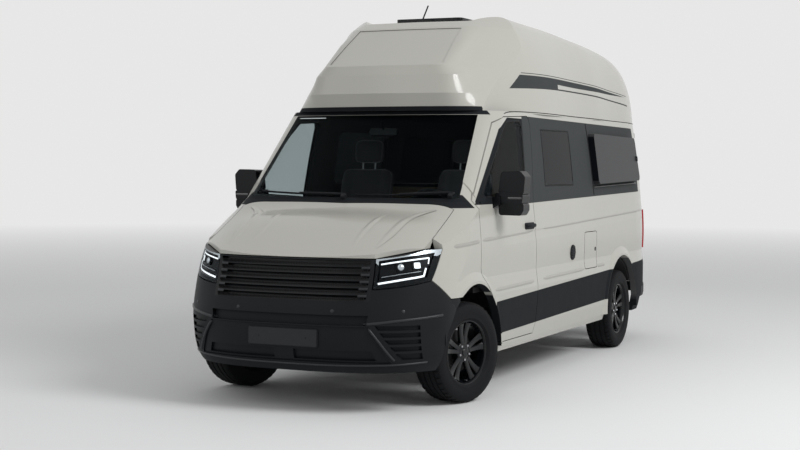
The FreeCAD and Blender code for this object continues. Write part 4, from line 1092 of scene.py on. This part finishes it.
@dataclass(frozen=True)
class Front:
    """Bumper trim, blank plate, grille mesh, wipers and the bonnet's pressed ribs."""

    ribs: tuple = (
        (((0.742, -2.1), (0.668, -2.15), (0.618, -2.215), (0.598, -2.335), (0.588, -2.493), (0.574, -2.62),
          (0.562, -2.72)), 0.08),
        (((0.432, -2.17), (0.41, -2.316), (0.401, -2.431), (0.395, -2.544), (0.394, -2.631), (0.404, -2.735)), 0.066))
    lips: tuple = (
        (((0.56, 0.614), (0.675, 0.626), (0.786, 0.64), (0.907, 0.653), (0.98, 0.664)), 0.02, 0.007),
        (((0.604, 0.59), (0.655, 0.52), (0.7, 0.45), (0.748, 0.372)), 0.018, 0.008))
    rib_height: float = 0.006
    rib_fade: int = 12
    rib_rise: Point = (0, 0, 0.6)
    foot: tuple = ((-0.9, 0.35), (-0.7, 0.34), (-0.35, 0.334), (0.0, 0.332), (0.35, 0.334), (0.7, 0.34),
                   (0.9, 0.35))
    sensors: tuple = (-0.8, -0.36, 0.36, 0.8)
    sensor_height: float = 0.7
    plate_height: float = 0.514
    screw_across: float = 0.18
    wipers: tuple = (((0.79, 1.446), (0.78, 1.466), (0.42, 1.452), (0.08, 1.448)),
                     ((-0.02, 1.43), (-0.03, 1.448), (-0.39, 1.452), (-0.74, 1.466)))
    gaps: tuple = (0.778, 0.824, 0.87, 0.916, 0.962, 1.008)
    wire_step: float = 0.0122
    wires: int = 46
    bar_ends: float = 0.545

    def bonnet(self) -> None:
        """Two pressed ribs on each side of the bonnet."""
        sheet = Surface("bonnet")
        for side, sign in SIDES.items():
            shape = Shape(f"bonnet_ribs_{side}", "body_paint")
            for marks, wide in self.ribs:
                seats = [Mount(seat.at, (seat.out + Vector(self.rib_rise)).normalized(), seat.over)
                         for seat in sheet.trail(Look.TOP, flip(marks, sign), 8)]
                shape.rail(seats, swell(wide, self.rib_height), fade=self.rib_fade)
            shape.finish("bonnet", "body_paint", 60.0)

    def bumper(self) -> None:
        """Lip over the vents, slanted blades beside them, the foot's lip and the plain sensor discs, in a paler
        plastic that is partly painted highlight along the edges.
        """
        skin = Surface("front_bumper")
        for side, sign in SIDES.items():
            shape = Shape(f"bumper_lips_{side}", "bumper_edge_highlight")
            for marks, wide, high in self.lips:
                shape.rail(skin.trail(Look.FRONT, flip(marks, sign), 8), bead(wide, high, 0.004))
            shape.finish("body", "dark_plastic", 50.0)
        shape = Shape("bumper_foot", "bumper_edge_highlight")
        shape.rail(skin.trail(Look.FRONT, self.foot, 8), bead(0.014, 0.006, 0.004))
        for across in self.sensors:
            shape.button(skin.mount(Look.FRONT, across, self.sensor_height),
                         ((0.011, 0.0015), (0.0125, 0.0), (0.0125, -0.004)), 0.0015)
        shape.finish("body", "dark_plastic", 50.0)

    def plate(self) -> None:
        """A blank dark plate in its holder."""
        seat = Mount.facing(Surface("front_bumper").mount(Look.FRONT, 0.0, self.plate_height).at, (0, -1, 0))
        shape = Shape("front_plate", "dark_plastic", "plate_dark")
        shape.stud(seat, 0.532, 0.126, 0.012, ((-0.012, 0), (0.004, 0), (0.006, 0.002)))
        shape.stud(seat, 0.52, 0.114, 0.009, ((0.003, 0), (0.0072, 0), (0.0084, 0.0012)), 1)
        shape.stud(seat, 0.508, 0.102, 0.007, ((0.008, 0), (0.0088, 0.0008)), 1)
        for across in (-self.screw_across, self.screw_across):
            shape.lathe(seat.moved(across, 0, 0.0086),
                        ((SPOT, 0.0016), (0.004, 0.0014), (0.005, 0.0), (SPOT, -0.001)), 16)
        shape.finish("body", "dark_plastic")

    def grille(self) -> None:
        """Fine mesh behind the grille's bars, and facets on their ends in a paler plastic that is painted highlight.
        """
        face = Surface("grille")
        shape = Shape("grille_mesh", "grille_mesh")
        for up in self.gaps:
            for step in range(-self.wires, self.wires + 1):
                seat = Mount.facing(face.mount(Look.FRONT, step * self.wire_step, up).at, (0, -1, 0))
                shape.stud(seat, 0.0022, 0.026, 0.0009, ((-0.001, 0), (0.006, 0)))
        shape.finish("body", "gloss_black")
        shape = Shape("grille_ends", "bumper_edge_highlight")
        for low, high in zip(self.gaps, self.gaps[1:]):
            for across in (-self.bar_ends, self.bar_ends):
                shape.stud(face.mount(Look.FRONT, across, (low + high) / 2), 0.06, 0.017, 0.002,
                           ((-0.003, 0), (0.001, 0), (0.004, 0.006)))
        shape.finish("body", "gloss_black", 30.0)

    def wiper(self, index: int) -> None:
        """One wiper: arm, joint and blade along the foot of the screen."""
        screen = Surface("windscreen", "cab_frame")
        foot, knee, middle, tip = self.wipers[index]
        shape = Shape(f"wiper_{index + 1}", "dark_plastic", "tyre_rubber")
        seats = screen.trail(Look.FRONT, [foot, knee, middle], 6)
        shape.rail(seats, bead(0.016, 0.006, 0.003), lift=0.022)
        shape.button(seats[0], ((0.014, 0.03), (0.017, 0.022), (0.018, -0.004)), 0.032, 20)
        blade = screen.trail(Look.FRONT, [knee, middle, tip], 8)
        shape.rail(blade, bead(0.011, 0.009, 0.002), lift=0.01)
        shape.rail(blade, [(-0.002, 0.001), (0.002, 0.001), (0.004, 0.011), (-0.004, 0.011)], 1)
        shape.finish("body", "dark_plastic", 45.0)

    def build(self) -> None:
        """All of the front's trim."""
        self.bonnet()
        self.bumper()
        self.plate()
        self.grille()
        for index in range(len(self.wipers)):
            self.wiper(index)


def ring_seal(shape: Shape, seats: Sequence[Mount]) -> None:
    """Lays a rubber seal round a pane."""
    shape.rail(seats, bead(0.014, 0.003, 0.003), looped=True)


@dataclass(frozen=True)
class Sides:
    """Handles, seals, the awning window's frame, gutters, vent, flap lock and mirrors' trim."""

    cab_handle: Pair = (-0.842, 1.208)
    slide_handle: Pair = (-0.42, 1.18)
    bow: tuple = ((-0.092, 0.002), (-0.086, 0.018), (-0.07, 0.027), (-0.03, 0.031), (0.03, 0.031), (0.07, 0.027),
                  (0.086, 0.018), (0.092, 0.002))
    bow_section: Pair = (0.013, 0.006)
    lock_across: float = 0.124
    door_pane: tuple = ((-1.775, 1.448), (-0.885, 1.405), (-0.812, 1.98), (-0.84, 2.02), (-1.145, 2.004),
                        (-1.29, 1.898))
    left_pane: tuple = ((-0.405, 1.515), (0.31, 1.515), (0.328, 1.962), (-0.372, 1.96))
    right_pane: tuple = ((-0.44, 1.515), (0.56, 1.528), (0.55, 1.962), (-0.43, 1.958))
    gutter: tuple = ((-1.15, 2.066), (-1.05, 2.08), (-0.86, 2.09), (-0.56, 2.096), (0.5, 2.096), (1.5, 2.092),
                     (2.3, 2.088), (2.9, 2.088))
    awning_low: tuple = ((0.872, 1.49), (2.185, 1.512))
    strip: tuple = ((0.88, 1.425), (0.872, 1.47), (0.862, 1.7), (0.85, 2.04))
    latch: Pair = (2.14, 1.745)
    track: tuple = ((0.8, 1.33), (1.6, 1.338), (2.55, 1.345))
    wing_creases: tuple = (((-2.3, 1.113), (-1.89, 1.134)),)
    door_creases: tuple = (((-1.84, 1.137), (-0.76, 1.17)), ((-1.6, 0.764), (-0.76, 0.775)))
    crease_section: Pair = (0.03, 0.0055)
    wall_creases: tuple = (((-0.56, 1.176), (2.7, 1.262)), ((-0.54, 0.779), (0.525, 0.792)),
                           ((0.915, 0.797), (1.12, 0.8)))
    vent: Pair = (0.215, 0.95)
    louvres: tuple = (-2, -1, 0, 1, 2)
    louvre_step: float = 0.022
    lock: Pair = (0.85, 0.95)
    mirror_across: float = 1.105
    mirror_glasses: tuple = ((1.55, 0.142), (1.36, 0.074))
    mirror_width: float = 0.165
    mirror_lamp: Pair = (1.14, 1.437)
    mirror_rim: float = 0.012

    @staticmethod
    def panels(side: str) -> list[str]:
        """The body's panels behind one cab door."""
        return [f"side_wall_{side}"] + (["sliding_door"] if side == "right" else [])

    def walls(self, side: str) -> Surface:
        """Everything fixed on one side."""
        return Surface(*self.panels(side), "cab_frame", "high_roof", "side_windows")

    @staticmethod
    def strip_piece(name: str, seats: Sequence[Mount], section: Sequence[Pair]) -> None:
        """A piece that is one dark strip."""
        shape = Shape(name, "rubber_seal")
        shape.rail(seats, section)
        shape.finish("body", "dark_plastic", 50.0)

    def handle(self, name: str, skin: Surface, look: Look, place: Pair, body: str) -> None:
        """A pull handle with its recess plate, lock and bow."""
        seat = skin.mount(look, *place)
        wide, thick = self.bow_section
        shape = Shape(name, "dark_plastic", "bare_steel")
        shape.stud(seat, 0.216, 0.052, 0.022, LOW_PLATE)
        shape.skin([[seat.point(across, 0.002, height) + seat.over * (wide * math.cos(turn))
                     + seat.out * (thick * math.sin(turn)) for turn in turns(12)]
                    for across, height in self.bow])
        shape.button(seat.moved(self.lock_across, 0.0), ((0.009, 0.004), (0.012, 0.002), (0.012, -0.003)),
                     0.004, 24, 1)
        shape.finish(body, "dark_plastic", 45.0)

    def seal(self, name: str, skin: Surface, look: Look, marks: Sequence[Pair], body: str) -> None:
        """A piece that is the seal of one pane."""
        shape = Shape(name, "rubber_seal")
        ring_seal(shape, skin.trail(look, marks, 10, looped=True, curved=False))
        shape.finish(body, "dark_plastic", 50.0)

    def awning(self, side: str, look: Look) -> None:
        """The awning window's lower rail and latch, and the strip before it."""
        skin = self.walls(side)
        shape = Shape(f"awning_frame_{side}", "rubber_seal", "window_rail", "dark_plastic")
        shape.rail(skin.trail(look, self.strip, 6), bead(0.026, 0.004, 0.003))
        shape.rail(skin.trail(look, self.awning_low, 8), bead(0.012, 0.02, 0.003), 1)
        shape.stud(Surface("side_windows").mount(look, *self.latch), 0.03, 0.05, 0.012,
                   ((-0.004, 0), (0.008, 0), (0.012, 0.004)), 2)
        shape.finish("body", "dark_plastic", 45.0)

    def creases(self, side: str, look: Look) -> None:
        """The pressed lines along one side, one piece on each panel: raised ribs in a darker beige, which is painted
        shade along the lines.
        """
        for name, panels, body, spans in (("wing", ["wings"], "body", self.wing_creases),
                                          ("door", [f"door_panel_{side}"], f"door_{side}", self.door_creases),
                                          ("wall", self.panels(side), "body", self.wall_creases)):
            skin = Surface(*panels)
            shape = Shape(f"{name}_crease_{side}", "crease_shade_paint")
            for span in spans:
                shape.rail(skin.trail(look, span, 24), swell(*self.crease_section), fade=3)
            shape.finish(body, "body_paint", 60.0)

    def ventilator(self) -> None:
        """The round vent of the left wall, with its louvres."""
        seat = Surface("side_wall_left").mount(Look.LEFT, *self.vent)
        shape = Shape("wall_vent", "dark_plastic")
        shape.stud(seat, 0.124, 0.128, 0.061, BOSS)
        for step in self.louvres:
            shape.stud(seat.moved(0, step * self.louvre_step, 0.008), 0.104 - abs(step) * 0.016, 0.012, 0.004,
                       ((0, 0), (0.004, 0.001), (0.006, 0.004)))
        shape.finish("body", "dark_plastic", 40.0)

    def flap_lock(self) -> None:
        """Lock of the service flap."""
        seat = Surface("service_flap").mount(Look.LEFT, *self.lock)
        shape = Shape("flap_lock", "dark_plastic", "bare_steel")
        shape.button(seat, ((0.014, 0.004), (0.018, 0.002), (0.018, -0.002)), 0.004, 28)
        shape.stud(seat, 0.004, 0.014, 0.001, ((0.003, 0), (0.0055, 0)), 1)
        shape.finish("service_flap", "dark_plastic", 40.0)

    def mirror(self, side: str) -> None:
        """Both glasses and the direction lamp of one mirror."""
        skin, sign = Surface(f"mirror_{side}"), SIDES[side]
        shape = Shape(f"mirror_trim_{side}", "mirror_glass", "smoked_lens", "dark_plastic")
        for up, high in self.mirror_glasses:
            seat = skin.mount(Look.REAR, sign * self.mirror_across, up)
            shape.stud(seat, self.mirror_width, high, 0.022, ((-0.004, 0), (0.0015, 0), (0.003, 0.002)), 2)
            shape.stud(seat, self.mirror_width - self.mirror_rim, high - self.mirror_rim, 0.018,
                       ((0.002, 0), (0.0042, 0)))
        across, up = self.mirror_lamp
        shape.stud(skin.mount(Look.FRONT, sign * across, up), 0.11, 0.014, 0.006,
                   ((-0.002, 0), (0.003, 0), (0.004, 0.002)), 1)
        shape.finish(f"door_{side}", "gloss_black", 40.0)

    def build(self) -> None:
        """Both sides."""
        for side, look in (("left", Look.LEFT), ("right", Look.RIGHT)):
            door = f"door_{side}"
            self.handle(f"cab_handle_{side}", Surface(f"door_panel_{side}"), look, self.cab_handle, door)
            self.seal(f"door_seal_{side}", Surface(f"door_panel_{side}", f"door_glass_{side}"), look,
                      self.door_pane, door)
            self.awning(side, look)
            self.creases(side, look)
            self.strip_piece(f"roof_joint_{side}", self.walls(side).trail(look, self.gutter, 12),
                             bead(0.007, 0.002, 0.003))
            self.mirror(side)
        left, right = self.walls("left"), self.walls("right")
        self.seal("window_seal_left", left, Look.LEFT, self.left_pane, "body")
        self.seal("window_seal_right", right, Look.RIGHT, self.right_pane, "body")
        self.handle("slide_handle", Surface("sliding_door"), Look.RIGHT, self.slide_handle, "body")
        self.ventilator()
        self.flap_lock()
        self.strip_piece("slide_track", right.trail(Look.RIGHT, self.track, 8), bead(0.02, 0.003, 0.004))


@dataclass(frozen=True)
class Rear:
    """Hinges and seals of the rear doors, blank plate, handle, high stop lamp and the tail lamps' lenses."""

    pane: tuple = ((0.12, 1.42), (0.69, 1.42), (0.632, 1.9), (0.12, 1.9))
    hinge_across: float = 0.742
    hinge_heights: tuple = (0.7, 1.33, 1.98)
    plate: Pair = (0.4, 0.9)
    handle: Pair = (0.09, 1.12)
    stop_lamp: Pair = (0.0, 2.2)
    lens_across: float = 0.836
    lens_heights: tuple = (0.985, 1.08)

    def leaf(self, side: str, sign: int) -> None:
        """Seal and hinges of one rear door."""
        door = Surface(f"rear_door_{side}", f"rear_glass_{side}")
        shape = Shape(f"rear_trim_{side}", "rubber_seal", "dark_plastic")
        ring_seal(shape, door.trail(Look.REAR, flip(self.pane, sign), 10, looped=True, curved=False))
        for up in self.hinge_heights:
            shape.stud(door.mount(Look.REAR, sign * self.hinge_across, up), 0.07, 0.05, 0.01, BOSS, 1)
        shape.finish(f"rear_leaf_{side}", "dark_plastic", 45.0)

    def blocks(self, name: str, skin: Surface, place: Pair, body: str, slot: str, finish: str,
               studs: Sequence[tuple]) -> None:
        """A piece of two rounded blocks, one on the other, the upper in a finish of its own."""
        seat = skin.mount(Look.REAR, *place)
        shape = Shape(name, "dark_plastic", finish)
        for stud in studs:
            shape.stud(seat, *stud)
        shape.finish(body, slot, 40.0)

    def build(self) -> None:
        """Both leaves and the frame round them."""
        for side, sign in SIDES.items():
            self.leaf(side, sign)
        leaf = Surface("rear_door_left")
        self.blocks("rear_plate", leaf, self.plate, "rear_leaf_left", "dark_plastic", "plate_pale", (
            (0.532, 0.126, 0.012, ((-0.002, 0), (0.006, 0), (0.008, 0.002))),
            (0.516, 0.11, 0.008, ((0.007, 0), (0.01, 0), (0.0108, 0.0008)), 1)))
        self.blocks("rear_handle", leaf, self.handle, "rear_leaf_left", "dark_plastic", "bare_steel", (
            (0.062, 0.18, 0.02, LOW_PLATE), (0.03, 0.14, 0.012, ((0.004, 0), (0.024, 0), (0.03, 0.005)))))
        self.blocks("stop_lamp", Surface("high_roof"), self.stop_lamp, "body", "lamp_red", "red_lens", (
            (0.3, 0.04, 0.012, ((-0.004, 0), (0.008, 0), (0.011, 0.003))),
            (0.276, 0.022, 0.008, ((0.01, 0), (0.0135, 0), (0.015, 0.002)), 1)))
        lamps = Surface("tail_lamps")
        for side, sign in SIDES.items():
            shape = Shape(f"tail_lenses_{side}", "pale_lens", "amber_lens", "dark_plastic")
            for finish, up in enumerate(self.lens_heights):
                shape.stud(lamps.mount(Look.REAR, sign * self.lens_across, up), 0.058, 0.07, 0.01,
                           ((-0.003, 0), (0.003, 0), (0.005, 0.002)), finish)
            shape.finish("body", "lamp_red", 40.0)


@dataclass(frozen=True)
class Top:
    """The roof: ribs on the hatch lid, fins of the rear vent and the aerial's foot."""

    lid_ribs: int = 5
    rib_half: float = 0.2
    lid_middle: float = -0.27
    fins: int = 9
    fin_ends: Pair = (1.56, 1.84)
    aerial: float = -0.748

    def build(self) -> None:
        """All of the roof's small parts."""
        lid = Surface("roof_hatch_lid")
        shape = Shape("lid_ribs", "gloss_black")
        for step in range(self.lid_ribs):
            across = -self.rib_half + 2 * self.rib_half * step / (self.lid_ribs - 1)
            shape.stud(lid.mount(Look.TOP, across, self.lid_middle, REARWARD), 0.022, 0.46, 0.01,
                       ((-0.002, 0), (0.003, 0.001), (0.006, 0.006)))
        shape.finish("hatch_lid", "gloss_black", 40.0)
        roof = Surface("roof_fittings", "high_roof")
        shape = Shape("vent_fins", "dark_plastic")
        first, last = self.fin_ends
        for step in range(self.fins):
            along = first + (last - first) * step / (self.fins - 1)
            shape.stud(roof.mount(Look.TOP, 0.0, along, REARWARD), 0.3, 0.014, 0.005,
                       ((-0.002, 0), (0.008, 0.001), (0.011, 0.004)))
        shape.button(roof.mount(Look.TOP, 0.0, self.aerial, REARWARD),
                     ((0.016, 0.01), (0.026, 0.006), (0.03, -0.004)), 0.01, 28)
        shape.finish("body", "dark_plastic", 40.0)


@dataclass(frozen=True)
class Pad:
    """One stuffed pad: a crowned closed form whose sides pull in between its corners, with sewn channels."""

    seat: Mount
    width: float
    length: float
    thick: float
    crown: float = 0.012
    pull: float = 0.03
    bolster: float = 0.0
    channels: tuple[float, ...] = ()
    cross_channels: tuple[float, ...] = ()
    sink: float = 0.006
    square: float = 7.0
    cuts: int = 26
    narrow_from: float = 2.0
    narrow_by: float = 0.0
    channel_width: float = 0.01
    bolster_from: float = 0.55
    seam: float = 0.55
    piping: float = 0.0035
    stitches: int = 72

    def place(self, corner: Vector) -> Vector:
        """Where a point of a cube from -1 to 1 lies on the pad."""
        norm = sum(abs(part) ** self.square for part in corner) ** (1 / self.square)
        across, along, up = corner / norm if norm else corner
        bulge = (1 - across ** 2) * (1 - along ** 2)
        wide = self.width / 2 * (1 - self.pull * (1 - along ** 2))
        if along > self.narrow_from:
            wide *= 1 - self.narrow_by * (along - self.narrow_from) / (1 - self.narrow_from)
        deep = self.length / 2 * (1 - self.pull * (1 - across ** 2))
        height = up * self.thick / 2
        if up > 0:
            edge = max(0.0, abs(across) - self.bolster_from) / (1 - self.bolster_from)
            height += up * (self.crown * bulge + self.bolster * math.sin(math.pi * min(1.0, edge)) ** 2)
            seams = [(along - line) * self.length for line in self.channels]
            seams += [(across - line) * self.width for line in self.cross_channels]
            for apart in seams:
                height -= up * self.sink * math.exp(-(apart / 2 / self.channel_width) ** 2)
        return self.seat.point(across * wide, along * deep, height)

    def make(self, name: str, cover: str, slot: str, stands_for: Sequence[str] = ()) -> None:
        """Makes the pad a piece, with a piped seam round it.

        Args:
            name: The piece's name.
            cover: The finish of its cover.
            slot: The record's material slot, handed on to the piece's finish.
            stands_for: Nodes that it replaces.
        """
        shape = Shape(name, cover, "seat_piping")
        bmesh.ops.create_cube(shape.mesh, size=2.0)
        bmesh.ops.subdivide_edges(shape.mesh, edges=shape.mesh.edges[:], cuts=self.cuts, use_grid_fill=True)
        for vert in shape.mesh.verts:
            vert.co = self.place(vert.co)
        shape.mesh.normal_update()
        ring = []
        for turn in turns(self.stitches):
            flat = Vector((math.cos(turn), math.sin(turn)))
            flat /= max(abs(flat.x), abs(flat.y))
            ring.append(self.place(Vector((*flat, self.seam))))
        shape.tube(ring, self.piping, 1, True, 8)
        shape.finish("body", slot, 70.0, stands_for)


@dataclass(frozen=True)
class Cabin:
    """Seats, mattress, driver's controls and the living space's fronts."""

    seat_across: float = 0.43
    seat_foot: Pair = (-1.125, 0.8005)
    runner_across: float = 0.17
    post_across: float = 0.055
    cross_seams: tuple = (-0.55, 0.55)
    bed_squares: int = 8
    bed_seams: Pair = (-0.8, 0.2)
    wheel_spokes: tuple = ((-0.13, 0.0, 0.11, 0.038, 0), (0.13, 0.0, 0.11, 0.038, 0),
                           (0.0, -0.12, 0.045, 0.11, 2))
    dials: tuple = ((0.0, 1.3, 0.25, 0.13), (0.43, 1.345, 0.3, 0.08))
    air_vents: tuple = (-0.78, -0.2, 0.2, 0.78)
    cupboards: tuple = (0.61, 0.99)
    cupboard_rows: tuple = ((0.93, 0.5), (1.31, 0.22))

    def seat(self, side: str) -> None:
        """One cab seat: hard base, cushion and back with side bolsters, and a head rest on two posts."""
        across = SIDES[side] * self.seat_across
        base = Shape(f"seat_base_{side}", "dark_plastic", "bare_steel")
        foot = Mount.facing((across, *self.seat_foot), UP, REARWARD)
        base.stud(foot, 0.4, 0.41, 0.02, ((0, 0.0), (0.15, 0.01), (0.2, 0.0), (0.2085, 0.006)))
        for way in (-1, 1):
            base.stud(foot.moved(way * self.runner_across, 0), 0.03, 0.44, 0.006,
                      ((0, 0), (0.02, 0), (0.024, 0.004)), 1)
            post = across + way * self.post_across
            base.tube([(post, -0.765, 1.6), (post, -0.752, 1.7)], 0.0065, 1)
        base.finish("body", "seat_cloth", 40.0, stands_for=["cab_seats"])
        for part, seat, sizes, seams, fill in (
                ("cushion", Mount.facing((across, -1.132, 1.06), UP, REARWARD),
                 (0.47, 0.5, 0.108, 0.008, 0.02, 0.012), ((-0.35, 0.05, 0.45), self.cross_seams), 0.7),
                ("back", Mount.facing((across, -0.832, 1.352), (0, -0.965, 0.262), (0, 0.262, 0.965)),
                 (0.45, 0.59, 0.092, 0.006, 0.03, 0.01), ((-0.45, -0.1, 0.25, 0.6), self.cross_seams), 0.7),
                ("head", Mount.facing((across, -0.745, 1.78), (0, -1, 0.1), (0, 0.1, 1)),
                 (0.25, 0.19, 0.076, 0.008, 0.04, 0.0), ((), (), 0.006, 4.0), 0.8)):
            Pad(seat, *sizes, *seams).make(f"seat_{part}_{side}", "seat_cloth", "seat_cloth")

    def bed(self) -> None:
        """The mattress, quilted in squares and drawn in at its rear corners."""
        first, apart = self.bed_seams
        lines = tuple(first + apart * step for step in range(self.bed_squares + 1))
        pad = Pad(Mount.facing((0, 2.034, 1.199), UP, REARWARD), 1.726, 1.456, 0.112, 0.004, 0.006, 0.0, lines,
                  lines, 0.005, 14.0, 96, 0.66, 0.094)
        pad.make("mattress_pad", "mattress_cover", "mattress_cloth", ["mattress"])

    def controls(self) -> None:
        """Steering wheel boss, dial hood, screen, air vents and the inner mirror."""
        shape = Shape("dash_parts", "dark_plastic", "gloss_black", "bare_steel")
        boss = Mount.facing((0.43, -1.388, 1.326), (0, 0.82, 0.57))
        shape.stud(boss, 0.17, 0.13, 0.035, ((0.0, 0), (0.026, 0), (0.036, 0.01)))
        for across, up, wide, high, finish in self.wheel_spokes:
            shape.stud(boss.moved(across, up), wide, high, 0.01, ((0.0, 0), (0.014, 0), (0.018, 0.004)),
                       finish)
        for across, up, wide, high in self.dials:
            seat = Mount.facing((across, -1.632, up), (0, 0.9, 0.35))
            shape.stud(seat, wide, high, 0.012, HOLDER)
            shape.stud(seat, wide - 0.016, high - 0.016, 0.008, FACE, 1)
        for across in self.air_vents:
            seat = Mount.facing((across, -1.598, 1.19), (0, 1, 0.25))
            shape.stud(seat, 0.11, 0.07, 0.012, ((-0.03, 0), (0.008, 0), (0.012, 0.004)), 1)
            for step in (-1, 0, 1):
                shape.stud(seat.moved(0, step * 0.018, 0.01), 0.094, 0.006, 0.002, ((0, 0), (0.006, 0.001)))
        seat = Mount.facing((0.0, -1.395, 1.925), (0, 1, -0.15))
        shape.stud(seat, 0.24, 0.066, 0.028, ((-0.016, 0.008), (-0.004, 0), (0.012, 0), (0.014, 0.002)))
        shape.stud(seat, 0.228, 0.054, 0.022, FACE, 1)
        shape.tube([(0.0, -1.405, 1.94), (0.0, -1.43, 1.975), (0.0, -1.44, 2.0)], 0.01)
        shape.finish("body", "dark_plastic", 40.0)

    def kitchen(self) -> None:
        """Doors, drawers, worktop and sink of the kitchen, and the washroom's door."""
        shape = Shape("cabinet_fronts", "cabinet_front", "bare_steel", "dark_plastic")
        for along in self.cupboards:
            for up, high in self.cupboard_rows:
                seat = Mount.facing((-0.3502, along, up), (1, 0, 0))
                shape.stud(seat, 0.365, high, 0.008, PANEL)
                shape.stud(seat.moved(0, high / 2 - 0.035, 0.015), 0.12, 0.012, 0.005,
                           ((0, 0), (0.012, 0), (0.016, 0.004)), 1)
        top = Mount.facing((-0.622, 0.8, 1.4802), UP, REARWARD)
        shape.stud(top, 0.55, 0.77, 0.02, ((-0.002, 0), (0.018, 0), (0.024, 0.006)), 2)
        shape.stud(top.moved(0, -0.18, 0.024), 0.36, 0.3, 0.06,
                   ((-0.002, 0), (0.004, 0), (0.005, 0.01), (-0.0005, 0.014)), 1)
        wash = Mount.facing((0.0598, 0.85, 1.36), (-1, 0, 0))
        shape.stud(wash, 0.56, 1.3, 0.03, PANEL)
        shape.button(wash.moved(0.22, -0.05, 0.016), ((0.014, 0.022), (0.016, 0.01), (0.01, 0.0)), 0.024,
                     20, 1)
        shape.finish("body", "furniture_wood", 40.0)

    def build(self) -> None:
        """Everything inside."""
        for side in SIDES:
            self.seat(side)
        self.bed()
        self.controls()
        self.kitchen()


def main() -> None:
    """Builds the van's looks and the studio."""
    logging.basicConfig(level=logging.INFO, format="%(message)s")
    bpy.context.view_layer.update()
    Studio().build()
    Dress().build()
    for end in ("front", "rear"):
        for side in SIDES:
            Wheel(end, side).build()
    for assembly in (Headlamps, Front, Sides, Rear, Top, Cabin):
        assembly().build()


if __name__ == "__main__":
    main()
